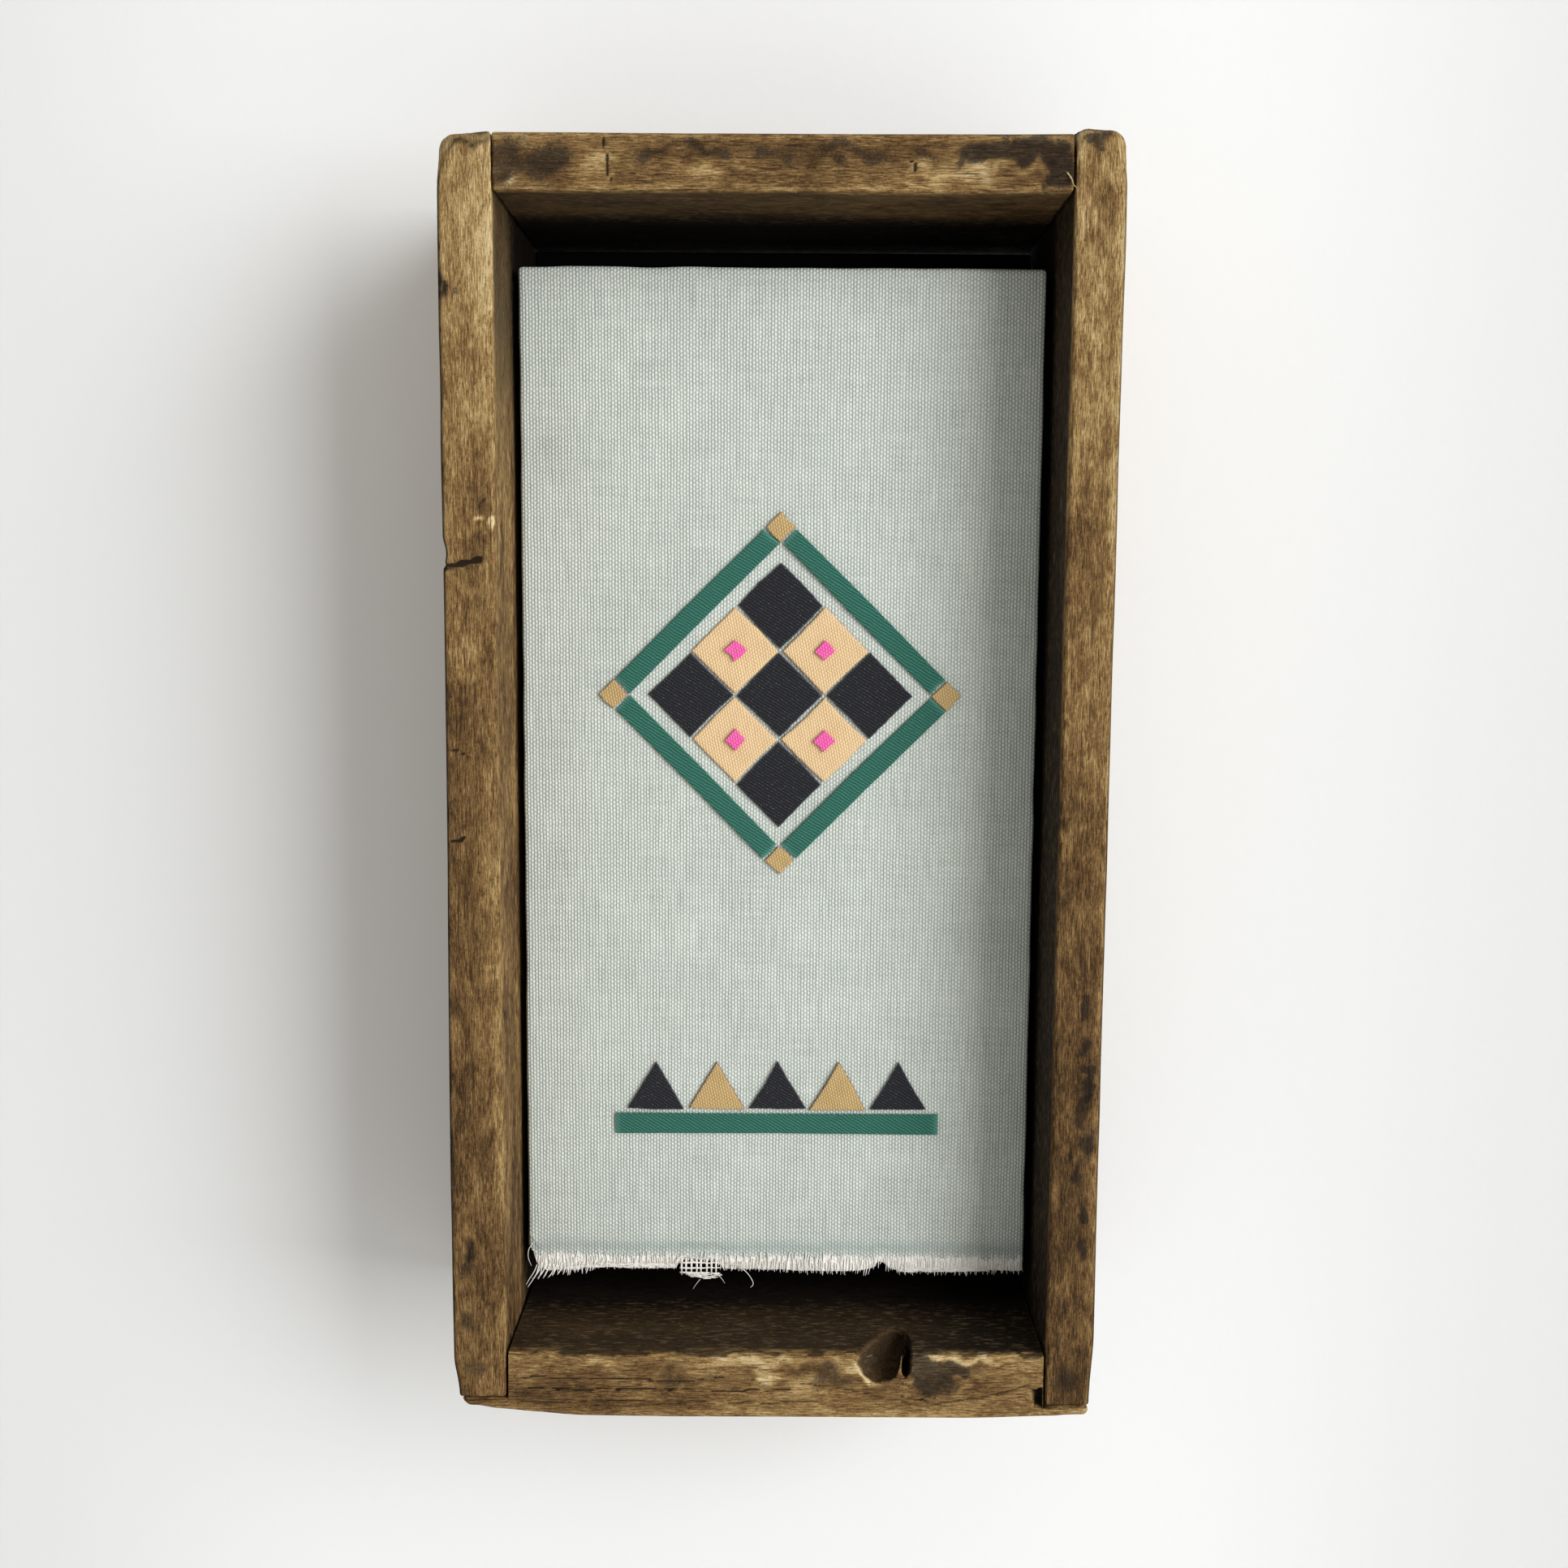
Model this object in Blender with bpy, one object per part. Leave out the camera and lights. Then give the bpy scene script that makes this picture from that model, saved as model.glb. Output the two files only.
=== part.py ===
"""A deep old wooden box, hung as a frame round a linen-covered panel with a patchwork block.

Metres, with +Z up, +X to the viewer's right and the open front towards -Y. The wall is the
plane y = 0. The origin is on it, where the wall's nail carries the hanger's middle notch.
"""

import math
import random

import bmesh
import bpy
from mathutils import Matrix, Vector, noise

MM = 0.001

# The box
BOX_WIDTH = 150.7 * MM
BOX_HEIGHT = 294.5 * MM
BOX_DEPTH = 75 * MM
HANG_BELOW_TOP = 45 * MM
LEFT_THICK = 11.95 * MM
RIGHT_THICK = 11.25 * MM
LEFT_SET_DOWN = 0.7 * MM
RIGHT_STAND_UP = 1.0 * MM
TOP_THICK = 12.5 * MM
TOP_SET_DOWN = 0.8 * MM
TOP_SET_BACK = 0.2 * MM
TOP_TILT = -0.2
BOTTOM_THICK = 15.8 * MM
LEFT_LIP = 4.2 * MM
RIGHT_LIP = 3.1 * MM
CUT_STEP = 0.1 * MM
JOINT_GAP = 0.5 * MM
TOUCH_GAP = 0.3 * MM

# How far a cutter runs past what it cuts, where that is close to something and where it is free
CUT_PAST = 1 * MM
CUT_FAR = 5 * MM

# The back and the panel in the box
BACK_INSET = 4 * MM
BACK_THICK = 6 * MM
PANEL_RECESS = 26 * MM
PANEL_WIDTH = 123.8 * MM
PANEL_SHIFT = 0.2 * MM
PANEL_TOP_SPACE = 11.3 * MM
PANEL_BOTTOM_SPACE = 9.8 * MM
LINEN_THICK = 0.7 * MM
LINEN_TURN = 30 * MM
RAW_EDGE = 1.2 * MM
FACE_THICK = 4 * MM
BAR_WIDTH = 18 * MM

# The patchwork
PATCH_THICK = 0.6 * MM
BLOCK_UP = 22 * MM
CELL = 15.2 * MM
SQUARE = 14.6 * MM
STRIP_SPACE = 3 * MM
STRIP_WIDTH = 5 * MM
PATCH_SPACE = 0.5 * MM
DOT = 3.6 * MM
ROW_DOWN = 84 * MM
ROW_STEP = 15 * MM
ROW_BASE = 14 * MM
ROW_HEIGHT = 12 * MM
ROW_STRIP = 80 * MM
CUT_WANDER = 0.25 * MM

# The metal
NAIL_RADIUS = 0.9 * MM
NAIL_HEAD_RADIUS = 2.3 * MM
NAIL_HEAD = 0.7 * MM
NAIL_LENGTH = 32 * MM
NAIL_SINK = 0.8 * MM
NAIL_YS = (-59 * MM, -17 * MM)
NAIL_LIFT = 1.5 * MM
PIN_RADIUS = 0.7 * MM
PIN_HEAD_RADIUS = 1.5 * MM
PIN_HEAD = 0.6 * MM
PIN_LENGTH = 20 * MM
PIN_FROM_END = 70 * MM
SCREW_RADIUS = 1.6 * MM
SCREW_HEAD_RADIUS = 3.4 * MM
SCREW_HEAD = 2.0 * MM
SCREW_LENGTH = 18 * MM
SCREW_BELOW_TOP = 60 * MM
SCREW_ABOVE_FOOT = 45 * MM
SLOT_WIDTH = 0.8 * MM
SLOT_DEPTH = 0.9 * MM
HOLE_SPACE = 0.35 * MM
HANGER_PIN_LENGTH = 4.5 * MM
HANGER_LENGTH = 45 * MM
HANGER_HEIGHT = 9 * MM
HANGER_THICK = 0.8 * MM
HANGER_STEP = 1.9 * MM
HANGER_TAB = 7 * MM
HANGER_RAMP = 2.5 * MM
TOOTH_PITCH = 2.6 * MM
TOOTH_DEPTH = 1.4 * MM
TEETH = 9

# Places that follow from the sizes
LEFT_X = -BOX_WIDTH / 2
RIGHT_X = BOX_WIDTH / 2
INNER_LEFT_X = LEFT_X + LEFT_THICK
INNER_RIGHT_X = RIGHT_X - RIGHT_THICK
FRONT_Y = -BOX_DEPTH
TOP_Z = HANG_BELOW_TOP
BOTTOM_Z = TOP_Z - BOX_HEIGHT
INNER_TOP_Z = TOP_Z - TOP_SET_DOWN - TOP_THICK
INNER_BOTTOM_Z = BOTTOM_Z + BOTTOM_THICK
BACK_REAR_Y = -BACK_INSET
BACK_FRONT_Y = BACK_REAR_Y - BACK_THICK
LINEN_Y = FRONT_Y + PANEL_RECESS
PANEL_LEFT_X = PANEL_SHIFT - PANEL_WIDTH / 2
PANEL_RIGHT_X = PANEL_SHIFT + PANEL_WIDTH / 2
PANEL_TOP_Z = INNER_TOP_Z - PANEL_TOP_SPACE
PANEL_BOTTOM_Z = INNER_BOTTOM_Z + PANEL_BOTTOM_SPACE
FACE_Y = LINEN_Y + LINEN_THICK + TOUCH_GAP
BAR_Y = FACE_Y + FACE_THICK + TOUCH_GAP
WRAP = LINEN_THICK + TOUCH_GAP
BLOCK_Z = (PANEL_TOP_Z + PANEL_BOTTOM_Z) / 2 + BLOCK_UP
ROW_Z = (PANEL_TOP_Z + PANEL_BOTTOM_Z) / 2 - ROW_DOWN

# Colours, linear RGB
OLD_WOOD = (0.17, 0.105, 0.05)
PINE = (0.55, 0.38, 0.2)
PLYWOOD = (0.45, 0.31, 0.17)
LINEN = (0.45, 0.5, 0.47)
BLACK_TWILL = (0.013, 0.013, 0.016)
CREAM = (0.75, 0.52, 0.27)
TAN = (0.55, 0.36, 0.15)
TEAL = (0.03, 0.14, 0.1)
PINK = (0.87, 0.1, 0.4)
IRON = (0.06, 0.05, 0.045)
STEEL = (0.5, 0.48, 0.44)


def clear_scene():
    for thing in list(bpy.data.objects):
        bpy.data.objects.remove(thing, do_unlink=True)


def material(name, colour, roughness, metallic=0.0):
    """The named material, made the first time that it is asked for."""
    found = bpy.data.materials.get(name)
    if found is None:
        found = bpy.data.materials.new(name)
        found.use_nodes = True
        shader = found.node_tree.nodes["Principled BSDF"]
        shader.inputs["Base Color"].default_value = (*colour, 1)
        shader.inputs["Roughness"].default_value = roughness
        shader.inputs["Metallic"].default_value = metallic
    return found


def finish_object(name, mesh, finish):
    """An object of a bmesh, with its normals outwards and its material."""
    bmesh.ops.recalc_face_normals(mesh, faces=mesh.faces)
    data = bpy.data.meshes.new(name)
    mesh.to_mesh(data)
    mesh.free()
    thing = bpy.data.objects.new(name, data)
    bpy.context.scene.collection.objects.link(thing)
    if finish is not None:
        data.materials.append(finish)
    return thing


def round_off(thing, angle=35):
    thing.data.shade_smooth()
    thing.data.set_sharp_from_angle(angle=math.radians(angle))


# Boards

# Grid lines by their distance from an end, and the steps between them along and across a board
EDGE_LINES = [0, 0.4 * MM, 1.4 * MM, 3.5 * MM]
DEPTH_STEP = 23 * MM
LENGTH_STEP = 15 * MM
THICK_STEP = 5 * MM

# A dent that is as deep from the front to the back
ALL_DEPTH = 150 * MM

# A soft corner keeps its full radius over the first third of its reach
CORNER_HOLD = 1.5


def stations(low, high, step, extra=()):
    """Grid lines along one axis: close together near both ends, and a step apart between."""
    near = EDGE_LINES[-1]
    count = max(1, round((high - low - 2 * near) / step))
    middle = [low + near + (high - low - 2 * near) * i / count for i in range(1, count)]
    ends = [low + line for line in EDGE_LINES] + [high - line for line in EDGE_LINES]
    return sorted([*ends, *middle, *extra])


def grid_block(name, xs, ys, zs, shape, finish):
    """A closed block of quads with grid lines at xs, ys and zs, each corner moved by shape."""
    mesh = bmesh.new()
    corners = {}

    def corner(i, j, k):
        if (i, j, k) not in corners:
            corners[i, j, k] = mesh.verts.new(shape(Vector((xs[i], ys[j], zs[k]))))
        return corners[i, j, k]

    last = (len(xs) - 1, len(ys) - 1, len(zs) - 1)
    for axis in range(3):
        a, b = [other for other in range(3) if other != axis]
        for end in (0, last[axis]):
            for u in range(last[a]):
                for v in range(last[b]):
                    ring = []
                    for du, dv in ((0, 0), (1, 0), (1, 1), (0, 1)):
                        index = [0, 0, 0]
                        index[axis], index[a], index[b] = end, u + du, v + dv
                        ring.append(corner(*index))
                    mesh.faces.new(ring)
    return finish_object(name, mesh, finish)


def smooth_step(t):
    t = min(max(t, 0.0), 1.0)
    return t * t * (3 - 2 * t)


def wear_noise(place, grain):
    """Slow waves, long along the grain (0 for X, 2 for Z) and short across it, from 0 to 1."""
    scale = [1 / (14 * MM)] * 3
    scale[grain] = 1 / (48 * MM)
    return 0.5 + 0.5 * noise.noise(Vector(c * s for c, s in zip(place, scale)))


class Board:
    """A worn board: its corners, its edge radius, its worn places and how deep each side is worn.

    low_wear and high_wear give the depth that wear may reach on the sides that face -X, -Y, -Z
    and +X, +Y, +Z. soft_corners are (corner, radius, reach), where the edges are rounder.
    dents are (centre, reach, push), each of which fades out before it comes to another side. With
    a push outwards it is a bulge. A reach has a length for each axis.
    """

    def __init__(self, low, high, grain, radius, low_wear, high_wear, soft_corners=(), dents=()):
        self.low = Vector(low)
        self.high = Vector(high)
        self.grain = grain
        self.radius = radius
        self.low_wear = low_wear
        self.high_wear = high_wear
        self.soft_corners = soft_corners
        self.dents = dents

    def radius_at(self, place):
        radius = self.radius
        for corner, soft, reach in self.soft_corners:
            off = Vector((a - c) / r for a, c, r in zip(place, corner, reach))
            near = smooth_step(CORNER_HOLD * (1 - off.length))
            radius = max(radius, self.radius + (soft - self.radius) * near)
        return radius

    def depth_at(self, place, out):
        """How far the wear takes the surface in, where it faces out."""
        most = sum(
            abs(c) * (low if c < 0 else high)
            for c, low, high in zip(out, self.low_wear, self.high_wear)
        )
        return most * wear_noise(place, self.grain)

    def shape(self, place):
        radius = self.radius_at(place)
        core = Vector(
            min(max(c, low + radius), high - radius)
            for c, low, high in zip(place, self.low, self.high)
        )
        out = (place - core).normalized()
        worn = core + out * (radius - self.depth_at(place, out))
        for centre, reach, push in self.dents:
            off = Vector((a - c) / r for a, c, r in zip(place, centre, reach))
            worn += Vector(push) * max(0.0, 1 - off.length_squared) ** 2
        return worn


def side_board(name, board):
    xs = stations(board.low.x, board.high.x, THICK_STEP)
    ys = stations(board.low.y, board.high.y, DEPTH_STEP)
    zs = stations(board.low.z, board.high.z, LENGTH_STEP)
    thing = grid_block(name, xs, ys, zs, board.shape, material("old_wood", OLD_WOOD, 0.8))
    round_off(thing)
    return thing


def round_corner(x, y, z, radius, reach):
    return ((x, y, z), radius * MM, (reach * MM,) * 3)


def left_board():
    foot = (LEFT_X, FRONT_Y / 2, BOTTOM_Z + LEFT_LIP + JOINT_GAP)
    top = TOP_Z - LEFT_SET_DOWN
    cut_place = (LEFT_X, FRONT_Y, TOP_Z - 92 * MM)
    bow_place = (LEFT_X, FRONT_Y / 2, INNER_BOTTOM_Z + 39 * MM)
    board = Board(
        low=(LEFT_X, FRONT_Y, foot[2]),
        high=(INNER_LEFT_X, 0, top),
        grain=2,
        radius=0.7 * MM,
        low_wear=(0.2 * MM, 0.3 * MM, 0),
        high_wear=(0.2 * MM, 0, 0.3 * MM),
        soft_corners=[
            round_corner(LEFT_X, FRONT_Y, top, 3.9, 13),
            round_corner(LEFT_X, 0, top, 3.0, 10),
        ],
        dents=[
            (foot, (7 * MM, ALL_DEPTH, 10 * MM), (1.35 * MM, 0, 0)),
            (cut_place, (5 * MM, 30 * MM, 4 * MM), (0.7 * MM, 0, 0)),
            (bow_place, (8 * MM, ALL_DEPTH, 110 * MM), (-0.75 * MM, 0, 0)),
        ],
    )
    return side_board("side_board_left", board)


def right_board():
    foot = (RIGHT_X, FRONT_Y / 2, BOTTOM_Z + RIGHT_LIP + TOUCH_GAP)
    top = TOP_Z + RIGHT_STAND_UP
    board = Board(
        low=(INNER_RIGHT_X, FRONT_Y, foot[2]),
        high=(RIGHT_X, 0, top),
        grain=2,
        radius=0.7 * MM,
        low_wear=(0.2 * MM, 0.3 * MM, 0),
        high_wear=(0.2 * MM, 0, 0.3 * MM),
        soft_corners=[
            round_corner(RIGHT_X, FRONT_Y, top, 3.6, 13),
            round_corner(INNER_RIGHT_X, FRONT_Y, top, 2.4, 6),
            round_corner(RIGHT_X, 0, top, 3.0, 10),
        ],
        dents=[(foot, (7 * MM, ALL_DEPTH, 18 * MM), (-0.9 * MM, 0, 0))],
    )
    return side_board("side_board_right", board)


def top_board():
    board = Board(
        low=(INNER_LEFT_X + TOUCH_GAP, FRONT_Y + TOP_SET_BACK, INNER_TOP_Z),
        high=(INNER_RIGHT_X - JOINT_GAP, 0, TOP_Z - TOP_SET_DOWN),
        grain=0,
        radius=0.5 * MM,
        low_wear=(0, 0.3 * MM, 0.3 * MM),
        high_wear=(0, 0, 0.3 * MM),
    )
    middle = (board.low + board.high) / 2
    tilt = Matrix.Rotation(math.radians(TOP_TILT), 3, "Y")
    thing = grid_block(
        "top_board",
        stations(board.low.x, board.high.x, LENGTH_STEP),
        stations(board.low.y, board.high.y, DEPTH_STEP),
        stations(board.low.z, board.high.z, THICK_STEP),
        lambda place: middle + tilt @ (board.shape(place) - middle),
        material("old_wood", OLD_WOOD, 0.8),
    )
    round_off(thing)
    return thing


# Where the bottom board's ends are cut back to lips, and where its knot is
LEFT_SHOULDER_X = INNER_LEFT_X + JOINT_GAP
RIGHT_SHOULDER_X = INNER_RIGHT_X - JOINT_GAP
KNOT_X = 24.8 * MM
KNOT_SIZE = (5.6 * MM, 15 * MM, 7.4 * MM)
KNOT_LEAN = 0.36
CLEFT_X = 31.3 * MM
CLEFT_SIZE = (2.0 * MM, 14 * MM, 6.4 * MM)


def bottom_form(thick):
    """The bottom board's form where it is this thick: its middle, or one of its lips."""
    left_end = (LEFT_X, FRONT_Y / 2, BOTTOM_Z)
    right_end = (RIGHT_X, FRONT_Y / 2, BOTTOM_Z)
    return Board(
        low=(LEFT_X, FRONT_Y, BOTTOM_Z),
        high=(RIGHT_X, 0, BOTTOM_Z + thick),
        grain=0,
        radius=0.7 * MM,
        low_wear=(0.2 * MM, 0.3 * MM, 0),
        high_wear=(0.2 * MM, 0, 0.3 * MM),
        soft_corners=[
            (left_end, 1.8 * MM, (10 * MM, 10 * ALL_DEPTH, 40 * MM)),
            (right_end, 1.4 * MM, (10 * MM, 10 * ALL_DEPTH, 40 * MM)),
        ],
        dents=[
            (left_end, (10 * MM, ALL_DEPTH, 9 * MM), (1.8 * MM, 0, 0)),
            (left_end, (32 * MM, ALL_DEPTH, 5 * MM), (0, 0, 2.4 * MM)),
            (right_end, (10 * MM, ALL_DEPTH, 9 * MM), (-0.8 * MM, 0, 0)),
            (right_end, (34 * MM, ALL_DEPTH, 3.6 * MM), (0, 0, 0.8 * MM)),
        ],
    )


def bottom_board():
    middle, left_lip, right_lip = (bottom_form(t) for t in (BOTTOM_THICK, LEFT_LIP, RIGHT_LIP))

    def stepped(place):
        form = middle
        if place.x < LEFT_SHOULDER_X:
            form = left_lip
        if place.x > RIGHT_SHOULDER_X:
            form = right_lip
        share = (form.high.z - BOTTOM_Z) / BOTTOM_THICK
        return form.shape(Vector((place.x, place.y, BOTTOM_Z + (place.z - BOTTOM_Z) * share)))

    either_side = (-CUT_STEP / 2, CUT_STEP / 2)
    shoulders = [x + d for x in (LEFT_SHOULDER_X, RIGHT_SHOULDER_X) for d in either_side]
    thing = grid_block(
        "bottom_board",
        stations(LEFT_X, RIGHT_X, LENGTH_STEP, shoulders),
        stations(FRONT_Y, 0, DEPTH_STEP),
        stations(BOTTOM_Z, INNER_BOTTOM_Z, THICK_STEP),
        stepped,
        material("old_wood", OLD_WOOD, 0.8),
    )
    round_off(thing)
    cut(thing, knot_hollow())
    cut(thing, knot_cleft())
    return thing


def hidden_cutter(thing):
    thing.hide_render = True
    thing.display_type = "WIRE"
    return thing


def knot_hollow():
    """The rim's broken edge, where part of the knot has come away. It leans to the right inwards."""
    mesh = bmesh.new()
    bmesh.ops.create_icosphere(mesh, subdivisions=2, radius=1)
    place = Matrix.Translation((KNOT_X, FRONT_Y, INNER_BOTTOM_Z))
    lean = Matrix(((1, KNOT_LEAN, 0, 0), (0, 1, 0, 0), (0, 0, 1, 0), (0, 0, 0, 1)))
    bmesh.ops.transform(mesh, matrix=place @ lean @ Matrix.Diagonal((*KNOT_SIZE, 1)), verts=mesh.verts)
    return hidden_cutter(finish_object("knot_hollow_cutter", mesh, None))


def knot_cleft():
    """The narrow cleft beside it, wider at the top."""
    half = CLEFT_SIZE[0] / 2
    low = INNER_BOTTOM_Z - CLEFT_SIZE[2]
    outline = [
        (CLEFT_X - half, INNER_BOTTOM_Z + CUT_PAST),
        (CLEFT_X - half * 0.8, low + 2 * MM),
        (CLEFT_X + half * 0.5, low),
        (CLEFT_X + half * 1.2, low + 2.5 * MM),
        (CLEFT_X + half * 1.6, INNER_BOTTOM_Z + CUT_PAST),
    ]
    mesh = prism(outline, FRONT_Y - CUT_PAST, FRONT_Y + CLEFT_SIZE[1])
    return hidden_cutter(finish_object("knot_cleft_cutter", mesh, None))


def cut(thing, cutter):
    """Takes the cutter's shape out of the thing."""
    hole = thing.modifiers.new(cutter.name, "BOOLEAN")
    hole.operation = "DIFFERENCE"
    hole.solver = "EXACT"
    hole.object = cutter


# Plain solids

def prism(outline, near_y, far_y):
    """A bmesh of an outline in X and Z, from near_y back to far_y."""
    mesh = bmesh.new()
    front = [mesh.verts.new((x, near_y, z)) for x, z in outline]
    back = [mesh.verts.new((x, far_y, z)) for x, z in outline]
    mesh.faces.new(front)
    mesh.faces.new(back[::-1])
    for i, corner in enumerate(front):
        after = (i + 1) % len(front)
        mesh.faces.new((corner, front[after], back[after], back[i]))
    return mesh


def box(name, low, high, finish, bevel=0.4 * MM):
    outline = [(low[0], low[2]), (high[0], low[2]), (high[0], high[2]), (low[0], high[2])]
    thing = finish_object(name, prism(outline, low[1], high[1]), finish)
    if bevel:
        edges = thing.modifiers.new("worn_edges", "BEVEL")
        edges.width = bevel
        edges.segments = 1
    return thing


def turned(name, profile, place, along, finish, sides=10):
    """A solid turned round an axis. profile is (radius, distance along the axis) from end to end."""
    mesh = bmesh.new()
    rings = []
    for radius, far in profile:
        angles = [2 * math.pi * i / sides for i in range(sides)]
        rings.append([mesh.verts.new((radius * math.cos(a), radius * math.sin(a), far)) for a in angles])
    mesh.faces.new(rings[0])
    mesh.faces.new(rings[-1])
    for ring, after in zip(rings, rings[1:]):
        for i in range(sides):
            j = (i + 1) % sides
            mesh.faces.new((ring[i], ring[j], after[j], after[i]))
    turn = Vector((0, 0, 1)).rotation_difference(Vector(along)).to_matrix().to_4x4()
    bmesh.ops.transform(mesh, matrix=Matrix.Translation(place) @ turn, verts=mesh.verts)
    thing = finish_object(name, mesh, finish)
    if finish is not None:
        round_off(thing)
    return thing


# The back, the panel's frame and its face

def back_board():
    return box(
        "back_board",
        (INNER_LEFT_X + TOUCH_GAP, BACK_FRONT_Y, INNER_BOTTOM_Z + TOUCH_GAP),
        (INNER_RIGHT_X - TOUCH_GAP, BACK_REAR_Y, INNER_TOP_Z - 2 * TOUCH_GAP),
        material("plywood", PLYWOOD, 0.75),
    )


def panel_face():
    return box(
        "panel_face",
        (PANEL_LEFT_X + WRAP, FACE_Y, PANEL_BOTTOM_Z + RAW_EDGE),
        (PANEL_RIGHT_X - WRAP, FACE_Y + FACE_THICK, PANEL_TOP_Z - WRAP),
        material("plywood", PLYWOOD, 0.75),
    )


def panel_bars():
    """Two stiles from top to bottom, and two rails between them."""
    pine = material("pine", PINE, 0.7)
    far_y = BACK_FRONT_Y - TOUCH_GAP
    left, right = PANEL_LEFT_X + WRAP, PANEL_RIGHT_X - WRAP
    low, high = PANEL_BOTTOM_Z + RAW_EDGE, PANEL_TOP_Z - WRAP
    stiles = [
        box("panel_stile_left", (left, BAR_Y, low), (left + BAR_WIDTH, far_y, high), pine),
        box("panel_stile_right", (right - BAR_WIDTH, BAR_Y, low), (right, far_y, high), pine),
    ]
    start, end = left + BAR_WIDTH + TOUCH_GAP, right - BAR_WIDTH - TOUCH_GAP
    box("panel_rail_top", (start, BAR_Y, high - BAR_WIDTH), (end, far_y, high), pine)
    box("panel_rail_bottom", (start, BAR_Y, low), (end, far_y, low + BAR_WIDTH), pine)
    return stiles


def linen_cover():
    """The cloth over the face, turned back over the left, right and top sides."""
    cover = box(
        "linen_cover",
        (PANEL_LEFT_X, LINEN_Y, PANEL_BOTTOM_Z),
        (PANEL_RIGHT_X, LINEN_Y + LINEN_TURN, PANEL_TOP_Z),
        material("linen", LINEN, 0.9),
        bevel=0,
    )
    inside = box(
        "linen_inside_cutter",
        (PANEL_LEFT_X + LINEN_THICK, LINEN_Y + LINEN_THICK, PANEL_BOTTOM_Z - CUT_FAR),
        (PANEL_RIGHT_X - LINEN_THICK, LINEN_Y + LINEN_TURN + CUT_FAR, PANEL_TOP_Z - LINEN_THICK),
        None,
        bevel=0,
    )
    cut(cover, hidden_cutter(inside))
    folds = cover.modifiers.new("soft_folds", "BEVEL")
    folds.width = 0.3 * MM
    folds.segments = 1
    folds.limit_method = "ANGLE"


# The patchwork

def turned_corners(corners, centre, degrees):
    """Corners given round a centre, turned about it in the plane of the panel."""
    turn = Matrix.Rotation(math.radians(degrees), 2)
    return [tuple(Vector(centre) + turn @ Vector(corner)) for corner in corners]


def hand_cut(corners, draw):
    """A cut outline: each corner a little off, and each side a little bowed at its middle."""
    outline = []
    for i, (x, z) in enumerate(corners):
        after = corners[(i + 1) % len(corners)]
        outline.append((x + draw.uniform(-1, 1) * CUT_WANDER, z + draw.uniform(-1, 1) * CUT_WANDER))
        bow = draw.uniform(-1, 1) * CUT_WANDER
        side = Vector((after[0] - x, after[1] - z)).normalized()
        outline.append(((x + after[0]) / 2 - side.y * bow, (z + after[1]) / 2 + side.x * bow))
    return outline


def patch(name, corners, finish, draw, layer=0):
    far = LINEN_Y - TOUCH_GAP - layer * (PATCH_THICK + TOUCH_GAP)
    mesh = prism(hand_cut(corners, draw), far - PATCH_THICK, far)
    return finish_object(name, mesh, finish)


def rectangle(width, height, x=0.0, z=0.0):
    w, h = width / 2, height / 2
    return [(x - w, z - h), (x + w, z - h), (x + w, z + h), (x - w, z + h)]


def nine_patch(draw, black, cream, pink):
    """Nine squares on point, black and cream by turns, with a small pink square on each cream one."""
    centre = (PANEL_SHIFT, BLOCK_Z)
    dots = 0
    for row in range(3):
        for column in range(3):
            x, z = (column - 1) * CELL, (row - 1) * CELL
            dark = (row + column) % 2 == 0
            corners = turned_corners(rectangle(SQUARE, SQUARE, x, z), centre, 45)
            patch(f"square_{row + 1}_{column + 1}", corners, black if dark else cream, draw)
            if not dark:
                dots += 1
                corners = turned_corners(rectangle(DOT, DOT, x, z), centre, 45)
                patch(f"small_square_{dots}", corners, pink, draw, layer=1)


def block_border(draw, teal, tan):
    """A strip along each side of the block, and a square at each corner between them."""
    centre = (PANEL_SHIFT, BLOCK_Z)
    off = CELL * 1.5 + STRIP_SPACE + STRIP_WIDTH / 2
    long = 2 * off - STRIP_WIDTH - 2 * PATCH_SPACE
    for side in range(4):
        strip = turned_corners(rectangle(long, STRIP_WIDTH, 0, off), centre, 45 + 90 * side)
        patch(f"border_strip_{side + 1}", strip, teal, draw)
        corner = turned_corners(rectangle(STRIP_WIDTH, STRIP_WIDTH, off, off), centre, 45 + 90 * side)
        patch(f"border_corner_{side + 1}", corner, tan, draw)


def triangle_row(draw, black, tan, teal):
    """Five triangles side by side on a strip."""
    strip = rectangle(ROW_STRIP, STRIP_WIDTH, PANEL_SHIFT, ROW_Z)
    patch("row_strip", strip, teal, draw)
    base_z = ROW_Z + STRIP_WIDTH / 2 + 2 * PATCH_SPACE
    for i in range(5):
        x = PANEL_SHIFT + (i - 2) * ROW_STEP
        corners = [(x - ROW_BASE / 2, base_z), (x + ROW_BASE / 2, base_z), (x, base_z + ROW_HEIGHT)]
        patch(f"triangle_{i + 1}", corners, black if i % 2 == 0 else tan, draw)


def patchwork():
    draw = random.Random(7)
    black = material("black_twill", BLACK_TWILL, 0.85)
    cream = material("cream_cotton", CREAM, 0.85)
    tan = material("tan_cotton", TAN, 0.85)
    teal = material("teal_cotton", TEAL, 0.85)
    pink = material("pink_cotton", PINK, 0.85)
    nine_patch(draw, black, cream, pink)
    block_border(draw, teal, tan)
    triangle_row(draw, black, tan, teal)


# Fasteners

def nail_profile(length, radius, head_radius, head, grow=0.0):
    """From the head's top to the tip. grow widens it all round, for the hole that it sits in."""
    return [
        (head_radius * 0.75 + grow, -grow),
        (head_radius + grow, head * 0.4),
        (head_radius + grow, head + grow),
        (radius + grow, head + grow),
        (radius + grow, length - 2 * radius),
        (0.35 * radius + grow, length + grow),
    ]


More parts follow.
